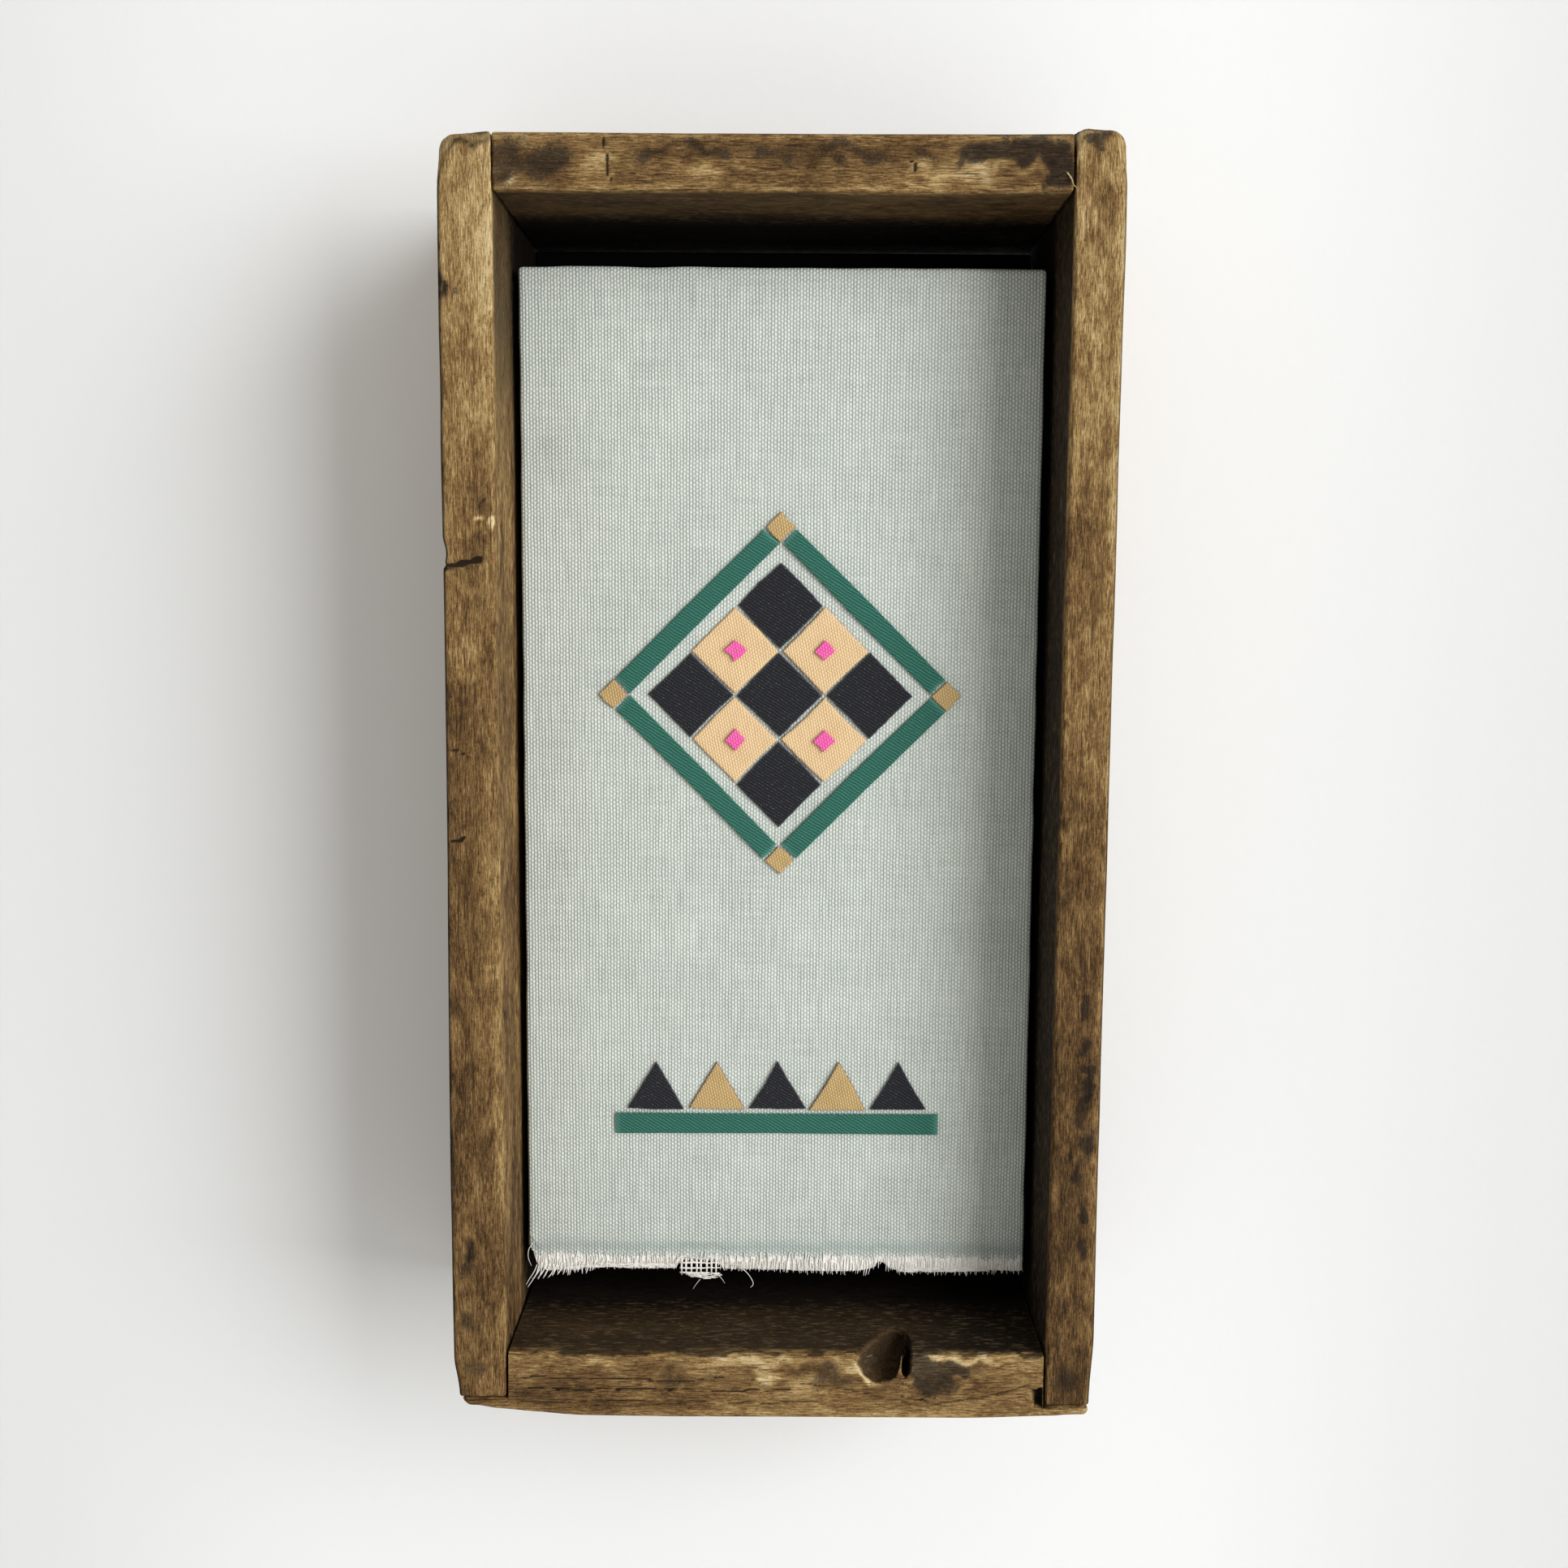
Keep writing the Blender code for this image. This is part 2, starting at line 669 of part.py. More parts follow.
def fastener(name, place, along, sizes, finish, holds):
    """A nail, pin or screw, with its hole cut in each thing that it holds."""
    made = turned(name, nail_profile(*sizes), place, along, finish)
    mouth = nail_profile(*sizes, grow=HOLE_SPACE)
    mouth[0] = (mouth[1][0], -CUT_FAR)
    hole = hidden_cutter(turned(f"{name}_hole_cutter", mouth, place, along, None))
    for thing in holds:
        cut(thing, hole)
    return made


def corner_nails(left, right, top, bottom):
    sizes = (NAIL_LENGTH, NAIL_RADIUS, NAIL_HEAD_RADIUS, NAIL_HEAD)
    iron = material("iron", IRON, 0.6, 0.8)
    top_z = (INNER_TOP_Z + TOP_Z) / 2
    bottom_z = (INNER_BOTTOM_Z + BOTTOM_Z) / 2 + NAIL_LIFT
    for side, board, x, along in (
        ("left", left, LEFT_X + NAIL_SINK, (1, 0, 0)),
        ("right", right, RIGHT_X - NAIL_SINK, (-1, 0, 0)),
    ):
        for level, end_board, z in (("top", top, top_z), ("bottom", bottom, bottom_z)):
            for number, y in enumerate(NAIL_YS, start=1):
                name = f"nail_{level}_{side}_{number}"
                fastener(name, (x, y, z), along, sizes, iron, (board, end_board))


def back_pins(left, right, back):
    sizes = (PIN_LENGTH, PIN_RADIUS, PIN_HEAD_RADIUS, PIN_HEAD)
    iron = material("iron", IRON, 0.6, 0.8)
    y = (BACK_FRONT_Y + BACK_REAR_Y) / 2
    for side, board, x, along in (
        ("left", left, LEFT_X + NAIL_SINK, (1, 0, 0)),
        ("right", right, RIGHT_X - NAIL_SINK, (-1, 0, 0)),
    ):
        for number, z in enumerate((INNER_TOP_Z - PIN_FROM_END, INNER_BOTTOM_Z + PIN_FROM_END), start=1):
            fastener(f"back_pin_{side}_{number}", (x, y, z), along, sizes, iron, (board, back))


def panel_screws(back, stiles):
    """Slotted round-head screws, through the back board into the panel's stiles."""
    sizes = (SCREW_LENGTH, SCREW_RADIUS, SCREW_HEAD_RADIUS, SCREW_HEAD)
    steel = material("steel", STEEL, 0.4, 1.0)
    inset = WRAP + BAR_WIDTH / 2
    for stile, x in zip(stiles, (PANEL_LEFT_X + inset, PANEL_RIGHT_X - inset)):
        side = stile.name.rsplit("_", 1)[1]
        heights = (PANEL_TOP_Z - SCREW_BELOW_TOP, PANEL_BOTTOM_Z + SCREW_ABOVE_FOOT)
        for number, z in enumerate(heights, start=1):
            y = BACK_REAR_Y + SCREW_HEAD + HOLE_SPACE + TOUCH_GAP
            name = f"panel_screw_{side}_{number}"
            screw = turned(name, nail_profile(*sizes), (x, y, z), (0, -1, 0), steel, sides=12)
            slot = box(
                f"{name}_slot_cutter",
                (x - CUT_FAR, y - SLOT_DEPTH, z - SLOT_WIDTH / 2),
                (x + CUT_FAR, y + CUT_PAST, z + SLOT_WIDTH / 2),
                None,
                bevel=0,
            )
            cut(screw, hidden_cutter(slot))
            wide = SCREW_RADIUS + HOLE_SPACE
            bore = [(wide, -CUT_FAR), (wide, SCREW_LENGTH + CUT_PAST)]
            hole = turned(f"{name}_hole_cutter", bore, (x, y, z), (0, -1, 0), None, sides=12)
            for thing in (back, stile):
                cut(thing, hidden_cutter(hole))


# The hanger

def hanger_rise(x):
    """How far the hanger stands off the back board at x: flat tabs, ramps and a raised middle."""
    from_end = HANGER_LENGTH / 2 - abs(x)
    return HANGER_STEP * min(max((from_end - HANGER_TAB) / HANGER_RAMP, 0.0), 1.0)


def hanger_plate():
    """A bent strip with teeth along its lower edge. The notch at x = 0 sits on the wall's nail."""
    teeth_half = TEETH * TOOTH_PITCH / 2
    half = HANGER_LENGTH / 2
    ramps = [half - HANGER_TAB, half - HANGER_TAB - HANGER_RAMP]
    marks = [-half, half, *ramps, *(-x for x in ramps)]
    teeth = [-teeth_half + TOOTH_PITCH / 2 * i for i in range(2 * TEETH + 1)]
    stations_x = sorted(set(round(x, 7) for x in marks + teeth))
    mesh = bmesh.new()
    rings = []
    for x in stations_x:
        steps = round((x + teeth_half) / (TOOTH_PITCH / 2))
        notch = abs(x) < teeth_half and steps % 2 == 1 and round(x, 7) not in ramps
        low = 0.0 if notch else -TOOTH_DEPTH
        near = BACK_REAR_Y + TOUCH_GAP + hanger_rise(x)
        far = near + HANGER_THICK
        ring = [(near, low), (far, low), (far, HANGER_HEIGHT), (near, HANGER_HEIGHT)]
        rings.append([mesh.verts.new((x, y, z)) for y, z in ring])
    mesh.faces.new(rings[0])
    mesh.faces.new(rings[-1])
    for ring, after in zip(rings, rings[1:]):
        for i in range(4):
            j = (i + 1) % 4
            mesh.faces.new((ring[i], ring[j], after[j], after[i]))
    return finish_object("hanger", mesh, material("steel", STEEL, 0.4, 1.0))


def hanger(back):
    plate = hanger_plate()
    sizes = (HANGER_PIN_LENGTH, PIN_RADIUS, PIN_HEAD_RADIUS, PIN_HEAD)
    iron = material("iron", IRON, 0.6, 0.8)
    off = (HANGER_LENGTH - HANGER_TAB) / 2
    z = HANGER_HEIGHT / 2
    y = BACK_REAR_Y + 2 * TOUCH_GAP + HANGER_THICK + PIN_HEAD + HOLE_SPACE
    for side, x in (("left", -off), ("right", off)):
        name = f"hanger_pin_{side}"
        turned(name, nail_profile(*sizes), (x, y, z), (0, -1, 0), iron)
        wide = PIN_RADIUS + HOLE_SPACE
        bore = [(wide, -CUT_PAST), (wide, HANGER_PIN_LENGTH + CUT_PAST)]
        hole = turned(f"{name}_hole_cutter", bore, (x, y, z), (0, -1, 0), None)
        for thing in (plate, back):
            cut(thing, hidden_cutter(hole))


def main():
    clear_scene()
    left, right, top, bottom = left_board(), right_board(), top_board(), bottom_board()
    back = back_board()
    panel_face()
    stiles = panel_bars()
    linen_cover()
    patchwork()
    corner_nails(left, right, top, bottom)
    back_pins(left, right, back)
    panel_screws(back, stiles)
    hanger(back)


main()
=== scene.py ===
"""The looks of a deep old wooden box, hung as a frame round a linen-covered panel.

Metres, with +Z up, +X to the viewer's right, the open front towards -Y and the wall at y = 0.
The boards, the linen and the cloth pieces are made again in finer meshes of the same forms.
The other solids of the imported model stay, and get their materials here.
"""

import itertools
import math
import random

import bpy
import numpy as np
from mathutils import Matrix, Vector, noise


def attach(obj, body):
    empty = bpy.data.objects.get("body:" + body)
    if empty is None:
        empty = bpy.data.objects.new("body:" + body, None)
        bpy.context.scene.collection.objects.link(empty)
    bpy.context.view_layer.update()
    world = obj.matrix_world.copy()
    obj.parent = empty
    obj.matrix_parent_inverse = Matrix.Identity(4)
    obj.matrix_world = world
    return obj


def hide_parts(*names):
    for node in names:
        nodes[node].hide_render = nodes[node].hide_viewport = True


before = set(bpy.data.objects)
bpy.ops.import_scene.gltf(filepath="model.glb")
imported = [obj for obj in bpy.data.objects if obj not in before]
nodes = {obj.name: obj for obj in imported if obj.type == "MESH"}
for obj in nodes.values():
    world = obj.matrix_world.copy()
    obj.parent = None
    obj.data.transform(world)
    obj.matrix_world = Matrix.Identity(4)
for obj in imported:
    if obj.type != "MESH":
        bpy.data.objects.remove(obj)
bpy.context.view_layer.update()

MM = 0.001

# The box, as in the part's source
LEFT_X, RIGHT_X = -75.35 * MM, 75.35 * MM
INNER_LEFT_X, INNER_RIGHT_X = -63.4 * MM, 64.1 * MM
FRONT_Y = -75 * MM
TOP_Z, BOTTOM_Z = 45 * MM, -249.5 * MM
INNER_TOP_Z, INNER_BOTTOM_Z = 31.7 * MM, -233.7 * MM
LEFT_SET_DOWN, RIGHT_STAND_UP = 0.7 * MM, 1.0 * MM
TOP_SET_DOWN = 0.8 * MM
TOP_SET_BACK = 0.2 * MM
TOP_TILT = -0.2
LEFT_LIP, RIGHT_LIP = 4.2 * MM, 3.1 * MM
BOTTOM_THICK = 15.8 * MM
CUT_STEP = 0.1 * MM
JOINT_GAP = 0.5 * MM
TOUCH_GAP = 0.3 * MM
ALL_DEPTH = 150 * MM
CORNER_HOLD = 1.5
KNOT_X = 24.8 * MM
KNOT_SIZE = (5.6 * MM, 15 * MM, 7.4 * MM)
KNOT_LEAN = 0.36
CLEFT_X = 31.3 * MM
CLEFT_SIZE = (2.0 * MM, 14 * MM, 6.4 * MM)
NAIL_YS = (-59 * MM, -17 * MM)
TOP_NAIL_Z = (INNER_TOP_Z + TOP_Z) / 2
BOTTOM_NAIL_Z = (INNER_BOTTOM_Z + BOTTOM_Z) / 2 + 1.5 * MM
PIN_Y = -7 * MM
PIN_ZS = (INNER_TOP_Z - 70 * MM, INNER_BOTTOM_Z + 70 * MM)

# The linen, as in the part's source
LINEN_Y = -49 * MM
LINEN_THICK = 0.7 * MM
PANEL_LEFT_X, PANEL_RIGHT_X = -61.7 * MM, 62.1 * MM
PANEL_TOP_Z, PANEL_BOTTOM_Z = 20.4 * MM, -223.9 * MM
WEAVE_END_Z = PANEL_BOTTOM_Z + 4.1 * MM

# The camera, fitted to the photograph
CAMERA_PLACE = (0.6 * MM, -455.6 * MM, -53.7 * MM)
CAMERA_DOWN, CAMERA_YAW, CAMERA_ROLL = 6.67, 0.105, 0.391
FOCAL_SHARE = 2083 / 1932


# Small helpers

def smooth_step(t):
    t = np.clip(t, 0.0, 1.0)
    return t * t * (3 - 2 * t)


def noise_field(places, size, seed):
    """Smooth noise from 0 to 1 at each place, in waves of this size along X, Y and Z."""
    grid = places / np.asarray(size) + 31.7 * seed
    cell = np.floor(grid).astype(np.int64)
    share = grid - cell
    share = share * share * (3 - 2 * share)
    total = np.zeros(len(places))
    for corner in itertools.product((0, 1), repeat=3):
        key = (cell + corner) @ np.array((73856093, 19349663, 83492791))
        key = (key ^ (key >> 13)) * 1274126177
        value = ((key ^ (key >> 16)) & 0xFFFF) / 0xFFFF
        total += value * np.prod(np.where(corner, share, 1 - share), axis=1)
    return total


def along_grain(grain, across, along):
    """The size of a wave that is long along the grain (0 for X, 2 for Z)."""
    size = [across] * 3
    size[grain] = along
    return size


def mesh_object(name, corners, faces, finish, smooth=True):
    data = bpy.data.meshes.new(name)
    data.from_pydata([tuple(corner) for corner in corners], [], faces)
    data.validate()
    thing = bpy.data.objects.new(name, data)
    bpy.context.scene.collection.objects.link(thing)
    data.materials.append(finish)
    if smooth:
        data.shade_smooth()
    return thing


def give_mask(thing, name, values):
    """A number for each corner, which the material reads by its name."""
    mask = thing.data.attributes.new(name, "FLOAT", "POINT")
    mask.data.foreach_set("value", np.asarray(values, np.float32))


# Materials

class Tree:
    """A material's node tree, with a short call for each kind of node that it needs."""

    def __init__(self, name):
        self.material = bpy.data.materials.new(name)
        self.material.use_nodes = True
        self.nodes = self.material.node_tree.nodes
        self.links = self.material.node_tree.links
        self.shader = self.nodes["Principled BSDF"]
        self.place = self.nodes.new("ShaderNodeTexCoord").outputs["Object"]

    def put(self, socket, value):
        if isinstance(value, bpy.types.NodeSocket):
            self.links.new(value, socket)
        elif value is not None:
            socket.default_value = value

    def math(self, operation, a, b=None):
        node = self.nodes.new("ShaderNodeMath")
        node.operation = operation
        self.put(node.inputs[0], a)
        self.put(node.inputs[1], b)
        return node.outputs[0]

    def sum(self, *terms):
        """The sum of the terms. A term is a value, or a pair of a value and its weight."""
        terms = [self.times(*term) if isinstance(term, tuple) else term for term in terms]
        total = terms[0]
        for term in terms[1:]:
            total = self.math("ADD", total, term)
        return total

    def times(self, a, b):
        return self.math("MULTIPLY", a, b)

    def coordinates(self, size, turn=(0, 0, 0), place=None):
        """Object coordinates in units of size, a length for each axis."""
        node = self.nodes.new("ShaderNodeMapping")
        self.put(node.inputs["Vector"], place or self.place)
        node.inputs["Rotation"].default_value = [math.radians(angle) for angle in turn]
        node.inputs["Scale"].default_value = [1 / length for length in size]
        return node.outputs[0]

    def noise(self, size, detail=2.0, rough=0.5, distortion=0.0, turn=(0, 0, 0)):
        node = self.nodes.new("ShaderNodeTexNoise")
        self.put(node.inputs["Vector"], self.coordinates(size, turn))
        node.inputs["Scale"].default_value = 1.0
        node.inputs["Detail"].default_value = detail
        node.inputs["Roughness"].default_value = rough
        node.inputs["Distortion"].default_value = distortion
        return node.outputs["Fac"]

    def axes(self, vector=None):
        node = self.nodes.new("ShaderNodeSeparateXYZ")
        self.put(node.inputs[0], vector or self.place)
        return node.outputs

    def between(self, value, low, high, to_low=0.0, to_high=1.0):
        """A smooth step from to_low to to_high, as value goes from low to high."""
        node = self.nodes.new("ShaderNodeMapRange")
        node.interpolation_type = "SMOOTHSTEP"
        self.put(node.inputs["Value"], value)
        node.inputs["From Min"].default_value = low
        node.inputs["From Max"].default_value = high
        node.inputs["To Min"].default_value = to_low
        node.inputs["To Max"].default_value = to_high
        return node.outputs[0]

    def ramp(self, value, stops):
        node = self.nodes.new("ShaderNodeValToRGB")
        self.put(node.inputs["Fac"], value)
        elements = node.color_ramp.elements
        while len(elements) < len(stops):
            elements.new(0.5)
        for element, (position, colour) in zip(elements, stops):
            element.position = position
            element.color = (*colour, 1)
        return node.outputs["Color"]

    def mix(self, share, a, b, kind="MIX"):
        node = self.nodes.new("ShaderNodeMix")
        node.data_type = "RGBA"
        node.blend_type = kind
        self.put(node.inputs[0], share)
        self.put(node.inputs[6], a if isinstance(a, bpy.types.NodeSocket) else (*a, 1))
        self.put(node.inputs[7], b if isinstance(b, bpy.types.NodeSocket) else (*b, 1))
        return node.outputs[2]

    def mask(self, name):
        node = self.nodes.new("ShaderNodeAttribute")
        node.attribute_name = name
        return node.outputs["Fac"]

    def bump(self, height, distance, strength=1.0):
        node = self.nodes.new("ShaderNodeBump")
        self.put(node.inputs["Height"], height)
        node.inputs["Distance"].default_value = distance
        node.inputs["Strength"].default_value = strength
        self.put(self.shader.inputs["Normal"], node.outputs[0])

    def finish(self, colour, rough, **constants):
        self.put(self.shader.inputs["Base Color"], colour)
        self.put(self.shader.inputs["Roughness"], rough)
        for name, value in constants.items():
            self.shader.inputs[name.replace("_", " ")].default_value = value
        return self.material


WOOD_STOPS = [
    (0.0, (0.02, 0.011, 0.005)),
    (0.25, (0.085, 0.044, 0.015)),
    (0.5, (0.225, 0.128, 0.046)),
    (0.72, (0.43, 0.285, 0.112)),
    (1.0, (0.76, 0.59, 0.32)),
]
INK = (0.2, 0.23, 0.36)
# Near-black for soot and for painted shade
GRIME_AND_SHADE = (0.006, 0.0035, 0.002)
PORE = (0.05, 0.025, 0.01)
SPLIT = (0.02, 0.011, 0.006)
RUBBED = (0.17, 0.115, 0.06)
CRACK = (0.01, 0.006, 0.004)


def wood_noise(tree, grain, across, along, detail, rough, distortion=0.0, back=1.0):
    """Noise drawn out along the grain. back draws it out from front to back too."""
    size = along_grain(grain, across * MM, along * MM)
    size[1] *= back
    return tree.noise(size, detail, rough, distortion)


def old_wood(name, grain):
    """Old bare wood, with its grain along X (0) or Z (2).

    It reads four masks: pale, stain, crack, and a mask for soot together with painted shade in the recesses.
    """
    tree = Tree(name)
    fibres = wood_noise(tree, grain, 0.3, 2.6, 4, 0.62, 0.5, back=5)
    streaks = wood_noise(tree, grain, 0.9, 13, 4, 0.62, 0.8, back=2.5)
    clouds = wood_noise(tree, grain, 4.5, 10, 6, 0.62, 0.8)
    slow = wood_noise(tree, grain, 11, 34, 3, 0.5)
    crumbs = tree.noise([0.5 * MM] * 3, 5, 0.72)
    value = tree.sum(
        (fibres, 1.25), (streaks, 0.5), (clouds, 0.85), (slow, 0.6), (crumbs, 0.55),
        (tree.mask("pale"), 0.75), -1.9,
    )
    colour = tree.ramp(value, WOOD_STOPS)
    pores = wood_noise(tree, grain, 0.26, 1.7, 3, 0.6, 0.4, back=3)
    colour = tree.mix(tree.between(pores, 0.58, 0.68, 0, 0.7), colour, PORE)
    lines = wood_noise(tree, grain, 0.24, 15, 2, 0.5, 0.6)
    splits = tree.times(tree.between(lines, 0.65, 0.71), tree.between(clouds, 0.4, 0.55))
    colour = tree.mix(tree.times(splits, 0.8), colour, SPLIT)
    ragged = tree.sum((crumbs, 1.6), (clouds, 0.9), (fibres, 1.2), (streaks, 0.6), -2.15)
    stain = tree.between(tree.sum(tree.mask("stain"), ragged), 0.38, 0.64, 0, 0.92)
    colour = tree.mix(stain, colour, tree.mix(1.0, colour, INK, "MULTIPLY"))
    # Soot, and painted shade on the sides facing into the box, under the top board, in the knot's bowl and in
    # the cleft, mixed towards near-black.
    soot = tree.sum(tree.mask("soot"), (ragged, 0.55))
    colour = tree.mix(tree.between(soot, 0.0, 1.15, 0, 0.98), colour, GRIME_AND_SHADE)
    flecks = wood_noise(tree, grain, 0.34, 3.0, 3, 0.6, 0.4, back=2.2)
    rubbed = tree.times(tree.between(flecks, 0.52, 0.66, 0, 0.62), tree.between(soot, 0.25, 0.6))
    rubbed = tree.times(rubbed, tree.between(soot, 0.95, 1.5, 1, 0))
    colour = tree.mix(rubbed, colour, RUBBED)
    crack = tree.sum(tree.mask("crack"), (ragged, 0.5))
    colour = tree.mix(tree.between(crack, 0.25, 0.7, 0, 0.93), colour, CRACK)
    height = tree.sum((fibres, 1.1), (streaks, 0.8), (crumbs, 0.45), (pores, -0.5), (splits, -0.8))
    tree.bump(height, 0.42 * MM, 1.0)
    rough = tree.between(fibres, 0.3, 0.7, 0.7, 0.92)
    return tree.finish(colour, rough, Specular_IOR_Level=0.16)


def weave(tree, rib, nub, turn=0.0):
    """The height of a plain weave that shows as ribs with offset nubs, from 0 to 1."""
    wander = tree.nodes.new("ShaderNodeVectorMath")
    wander.operation = "ADD"
    loose = tree.nodes.new("ShaderNodeTexNoise")
    loose.inputs["Scale"].default_value = 1 / (2.4 * MM)
    loose.inputs["Detail"].default_value = 1.0
    small = tree.nodes.new("ShaderNodeVectorMath")
    small.operation = "SCALE"
    small.inputs["Scale"].default_value = 0.34 * MM
    tree.links.new(tree.place, loose.inputs["Vector"])
    tree.links.new(loose.outputs["Color"], small.inputs[0])
    tree.links.new(tree.place, wander.inputs[0])
    tree.links.new(small.outputs[0], wander.inputs[1])
    size = (rib / math.pi, 1.0, nub / math.pi)
    across, _, down = tree.axes(tree.coordinates(size, (0, turn, 0), wander.outputs[0]))
    ribs = tree.math("SINE", across)
    nubs = tree.math("SINE", down)
    return tree.sum((tree.math("ABSOLUTE", ribs), 0.55), (tree.times(ribs, nubs), 0.3), 0.15)


LINEN_LIT = (0.69, 0.735, 0.675)
LINEN_DEEP = (0.29, 0.325, 0.295)
LINEN_GLINT = (0.88, 0.92, 0.86)
LINEN_SPECK = (0.07, 0.08, 0.07)
LINEN_KNOT = (0.85, 0.88, 0.83)
LINEN_CREASE_SHADE = (0.3, 0.36, 0.34)
RAW_DEEP = (0.7, 0.66, 0.58)
RAW = (0.93, 0.91, 0.86)


def linen_finish():
    """Sage-grey linen, which the raw mask turns to bare off-white threads and the crease mask darkens with
    painted shade.
    """
    tree = Tree("linen_cloth")
    height = weave(tree, 0.74 * MM, 0.5 * MM)
    slubs = tree.noise((0.55 * MM, 1, 9 * MM), 2, 0.5)
    wefts = tree.noise((12 * MM, 1, 0.5 * MM), 2, 0.5)
    clouds = tree.noise([16 * MM] * 3, 3, 0.5)
    value = tree.sum(height, (slubs, 0.5), (wefts, 0.35), (clouds, 0.22), -0.62)
    colour = tree.ramp(value, [(0.0, LINEN_DEEP), (0.72, LINEN_LIT), (1.0, LINEN_GLINT)])
    specks = tree.noise((0.5 * MM, 1, 0.8 * MM), 1, 0.5)
    colour = tree.mix(tree.between(specks, 0.83, 0.87, 0, 0.75), colour, LINEN_SPECK)
    knots = tree.noise((1.6 * MM, 1, 0.45 * MM), 1, 0.5)
    colour = tree.mix(tree.between(knots, 0.8, 0.86, 0, 0.6), colour, LINEN_KNOT)
    colour = tree.mix(tree.times(tree.mask("crease"), 0.5), colour, LINEN_CREASE_SHADE)
    threads = tree.noise((0.3 * MM, 1, 2.5 * MM), 2, 0.5)
    bare = tree.mix(tree.between(threads, 0.35, 0.6), RAW_DEEP, RAW)
    edge = tree.sum(tree.mask("raw"), (tree.math("SUBTRACT", threads, 0.5), 1.8))
    colour = tree.mix(tree.between(edge, 0.35, 0.75), colour, bare)
    tree.bump(tree.sum(height, (slubs, 0.3), (wefts, 0.2)), 0.2 * MM, 0.9)
    return tree.finish(colour, 0.92, Specular_IOR_Level=0.2, Sheen_Weight=0.15)


def thread_finish():
    tree = Tree("raw_linen_threads")
    twist = tree.noise((0.25 * MM, 0.25 * MM, 0.5 * MM), 2, 0.5)
    colour = tree.mix(tree.between(twist, 0.3, 0.7), (0.78, 0.74, 0.67), (0.95, 0.93, 0.89))
    tree.bump(twist, 0.08 * MM, 0.6)
    return tree.finish(colour, 0.9, Specular_IOR_Level=0.2, Sheen_Weight=0.2)


def twill_finish(name, dark, light, speck_and_glint):
    """Twill: fine ridges on a slant, painted lighter on their tops, with painted glints where threads float
    and paler specks of lint and cut edges.
    """
    tree = Tree(name)
    wander = tree.noise([3 * MM] * 3, 2, 0.5)
    u, _, v = tree.axes(tree.coordinates((1.05 * MM / math.pi, 1, 0.5 * MM / math.pi), (0, 38, 0)))
    ridge = tree.math("ABSOLUTE", tree.math("SINE", tree.sum(u, (wander, 3.0))))
    steps = tree.math("ABSOLUTE", tree.math("SINE", tree.sum(v, (u, 0.5))))
    height = tree.sum((ridge, 0.7), (steps, 0.3))
    floats = tree.noise((0.34 * MM, 1, 0.6 * MM), 2, 0.6, turn=(0, 38, 0))
    lint = tree.noise([0.22 * MM] * 3, 2, 0.6)
    # Painted light: lighter on the ridges' tops, and painted glints where threads float on them.
    colour = tree.mix(tree.between(height, 0.25, 0.9), dark, light)
    bright = tree.times(tree.between(floats, 0.56, 0.74), tree.between(height, 0.5, 0.9))
    colour = tree.mix(tree.times(bright, 0.55), colour, speck_and_glint)
    colour = tree.mix(tree.between(lint, 0.72, 0.8, 0, 0.35), colour, speck_and_glint)
    colour = tree.mix(tree.times(tree.mask("cut"), 0.35), colour, speck_and_glint)
    tree.bump(tree.sum(height, (floats, 0.4)), 0.16 * MM, 0.9)
    return tree.finish(colour, 0.88, Specular_IOR_Level=0.2, Sheen_Weight=0.1)


def ribbed_finish(name, dark, light, edge):
    """Plain ribbed cotton, darker along its cut edges."""
    tree = Tree(name)
    height = weave(tree, 0.62 * MM, 0.44 * MM, 8)
    clouds = tree.noise([5 * MM] * 3, 3, 0.6)
    slubs = tree.noise((0.5 * MM, 1, 5 * MM), 2, 0.5)
    value = tree.sum(height, (clouds, 0.4), (slubs, 0.4), -0.45)
    # Lighter where the weave stands higher, as painted light on the ribs, and unevenly toned by clouds and
    # slubs.
    colour = tree.mix(tree.between(value, 0.0, 0.9), dark, light)
    fray = tree.sum(tree.mask("cut"), (tree.math("SUBTRACT", slubs, 0.5), 0.6))
    colour = tree.mix(tree.between(fray, 0.35, 0.8, 0, 0.75), colour, edge)
    tree.bump(tree.sum(height, (slubs, 0.3)), 0.16 * MM, 0.85)
    return tree.finish(colour, 0.9, Specular_IOR_Level=0.2, Sheen_Weight=0.12)


PLY_PALE = (0.5, 0.36, 0.2)
PLY_DARK = (0.34, 0.22, 0.11)
PLY_EDGE = (0.13, 0.07, 0.03)
PLY_SHADE_BLACK = (0.0015, 0.001, 0.001)
PLY_THICK = 2 * MM
PLY_FRONT_YS = (-8.7 * MM, -8.5 * MM)


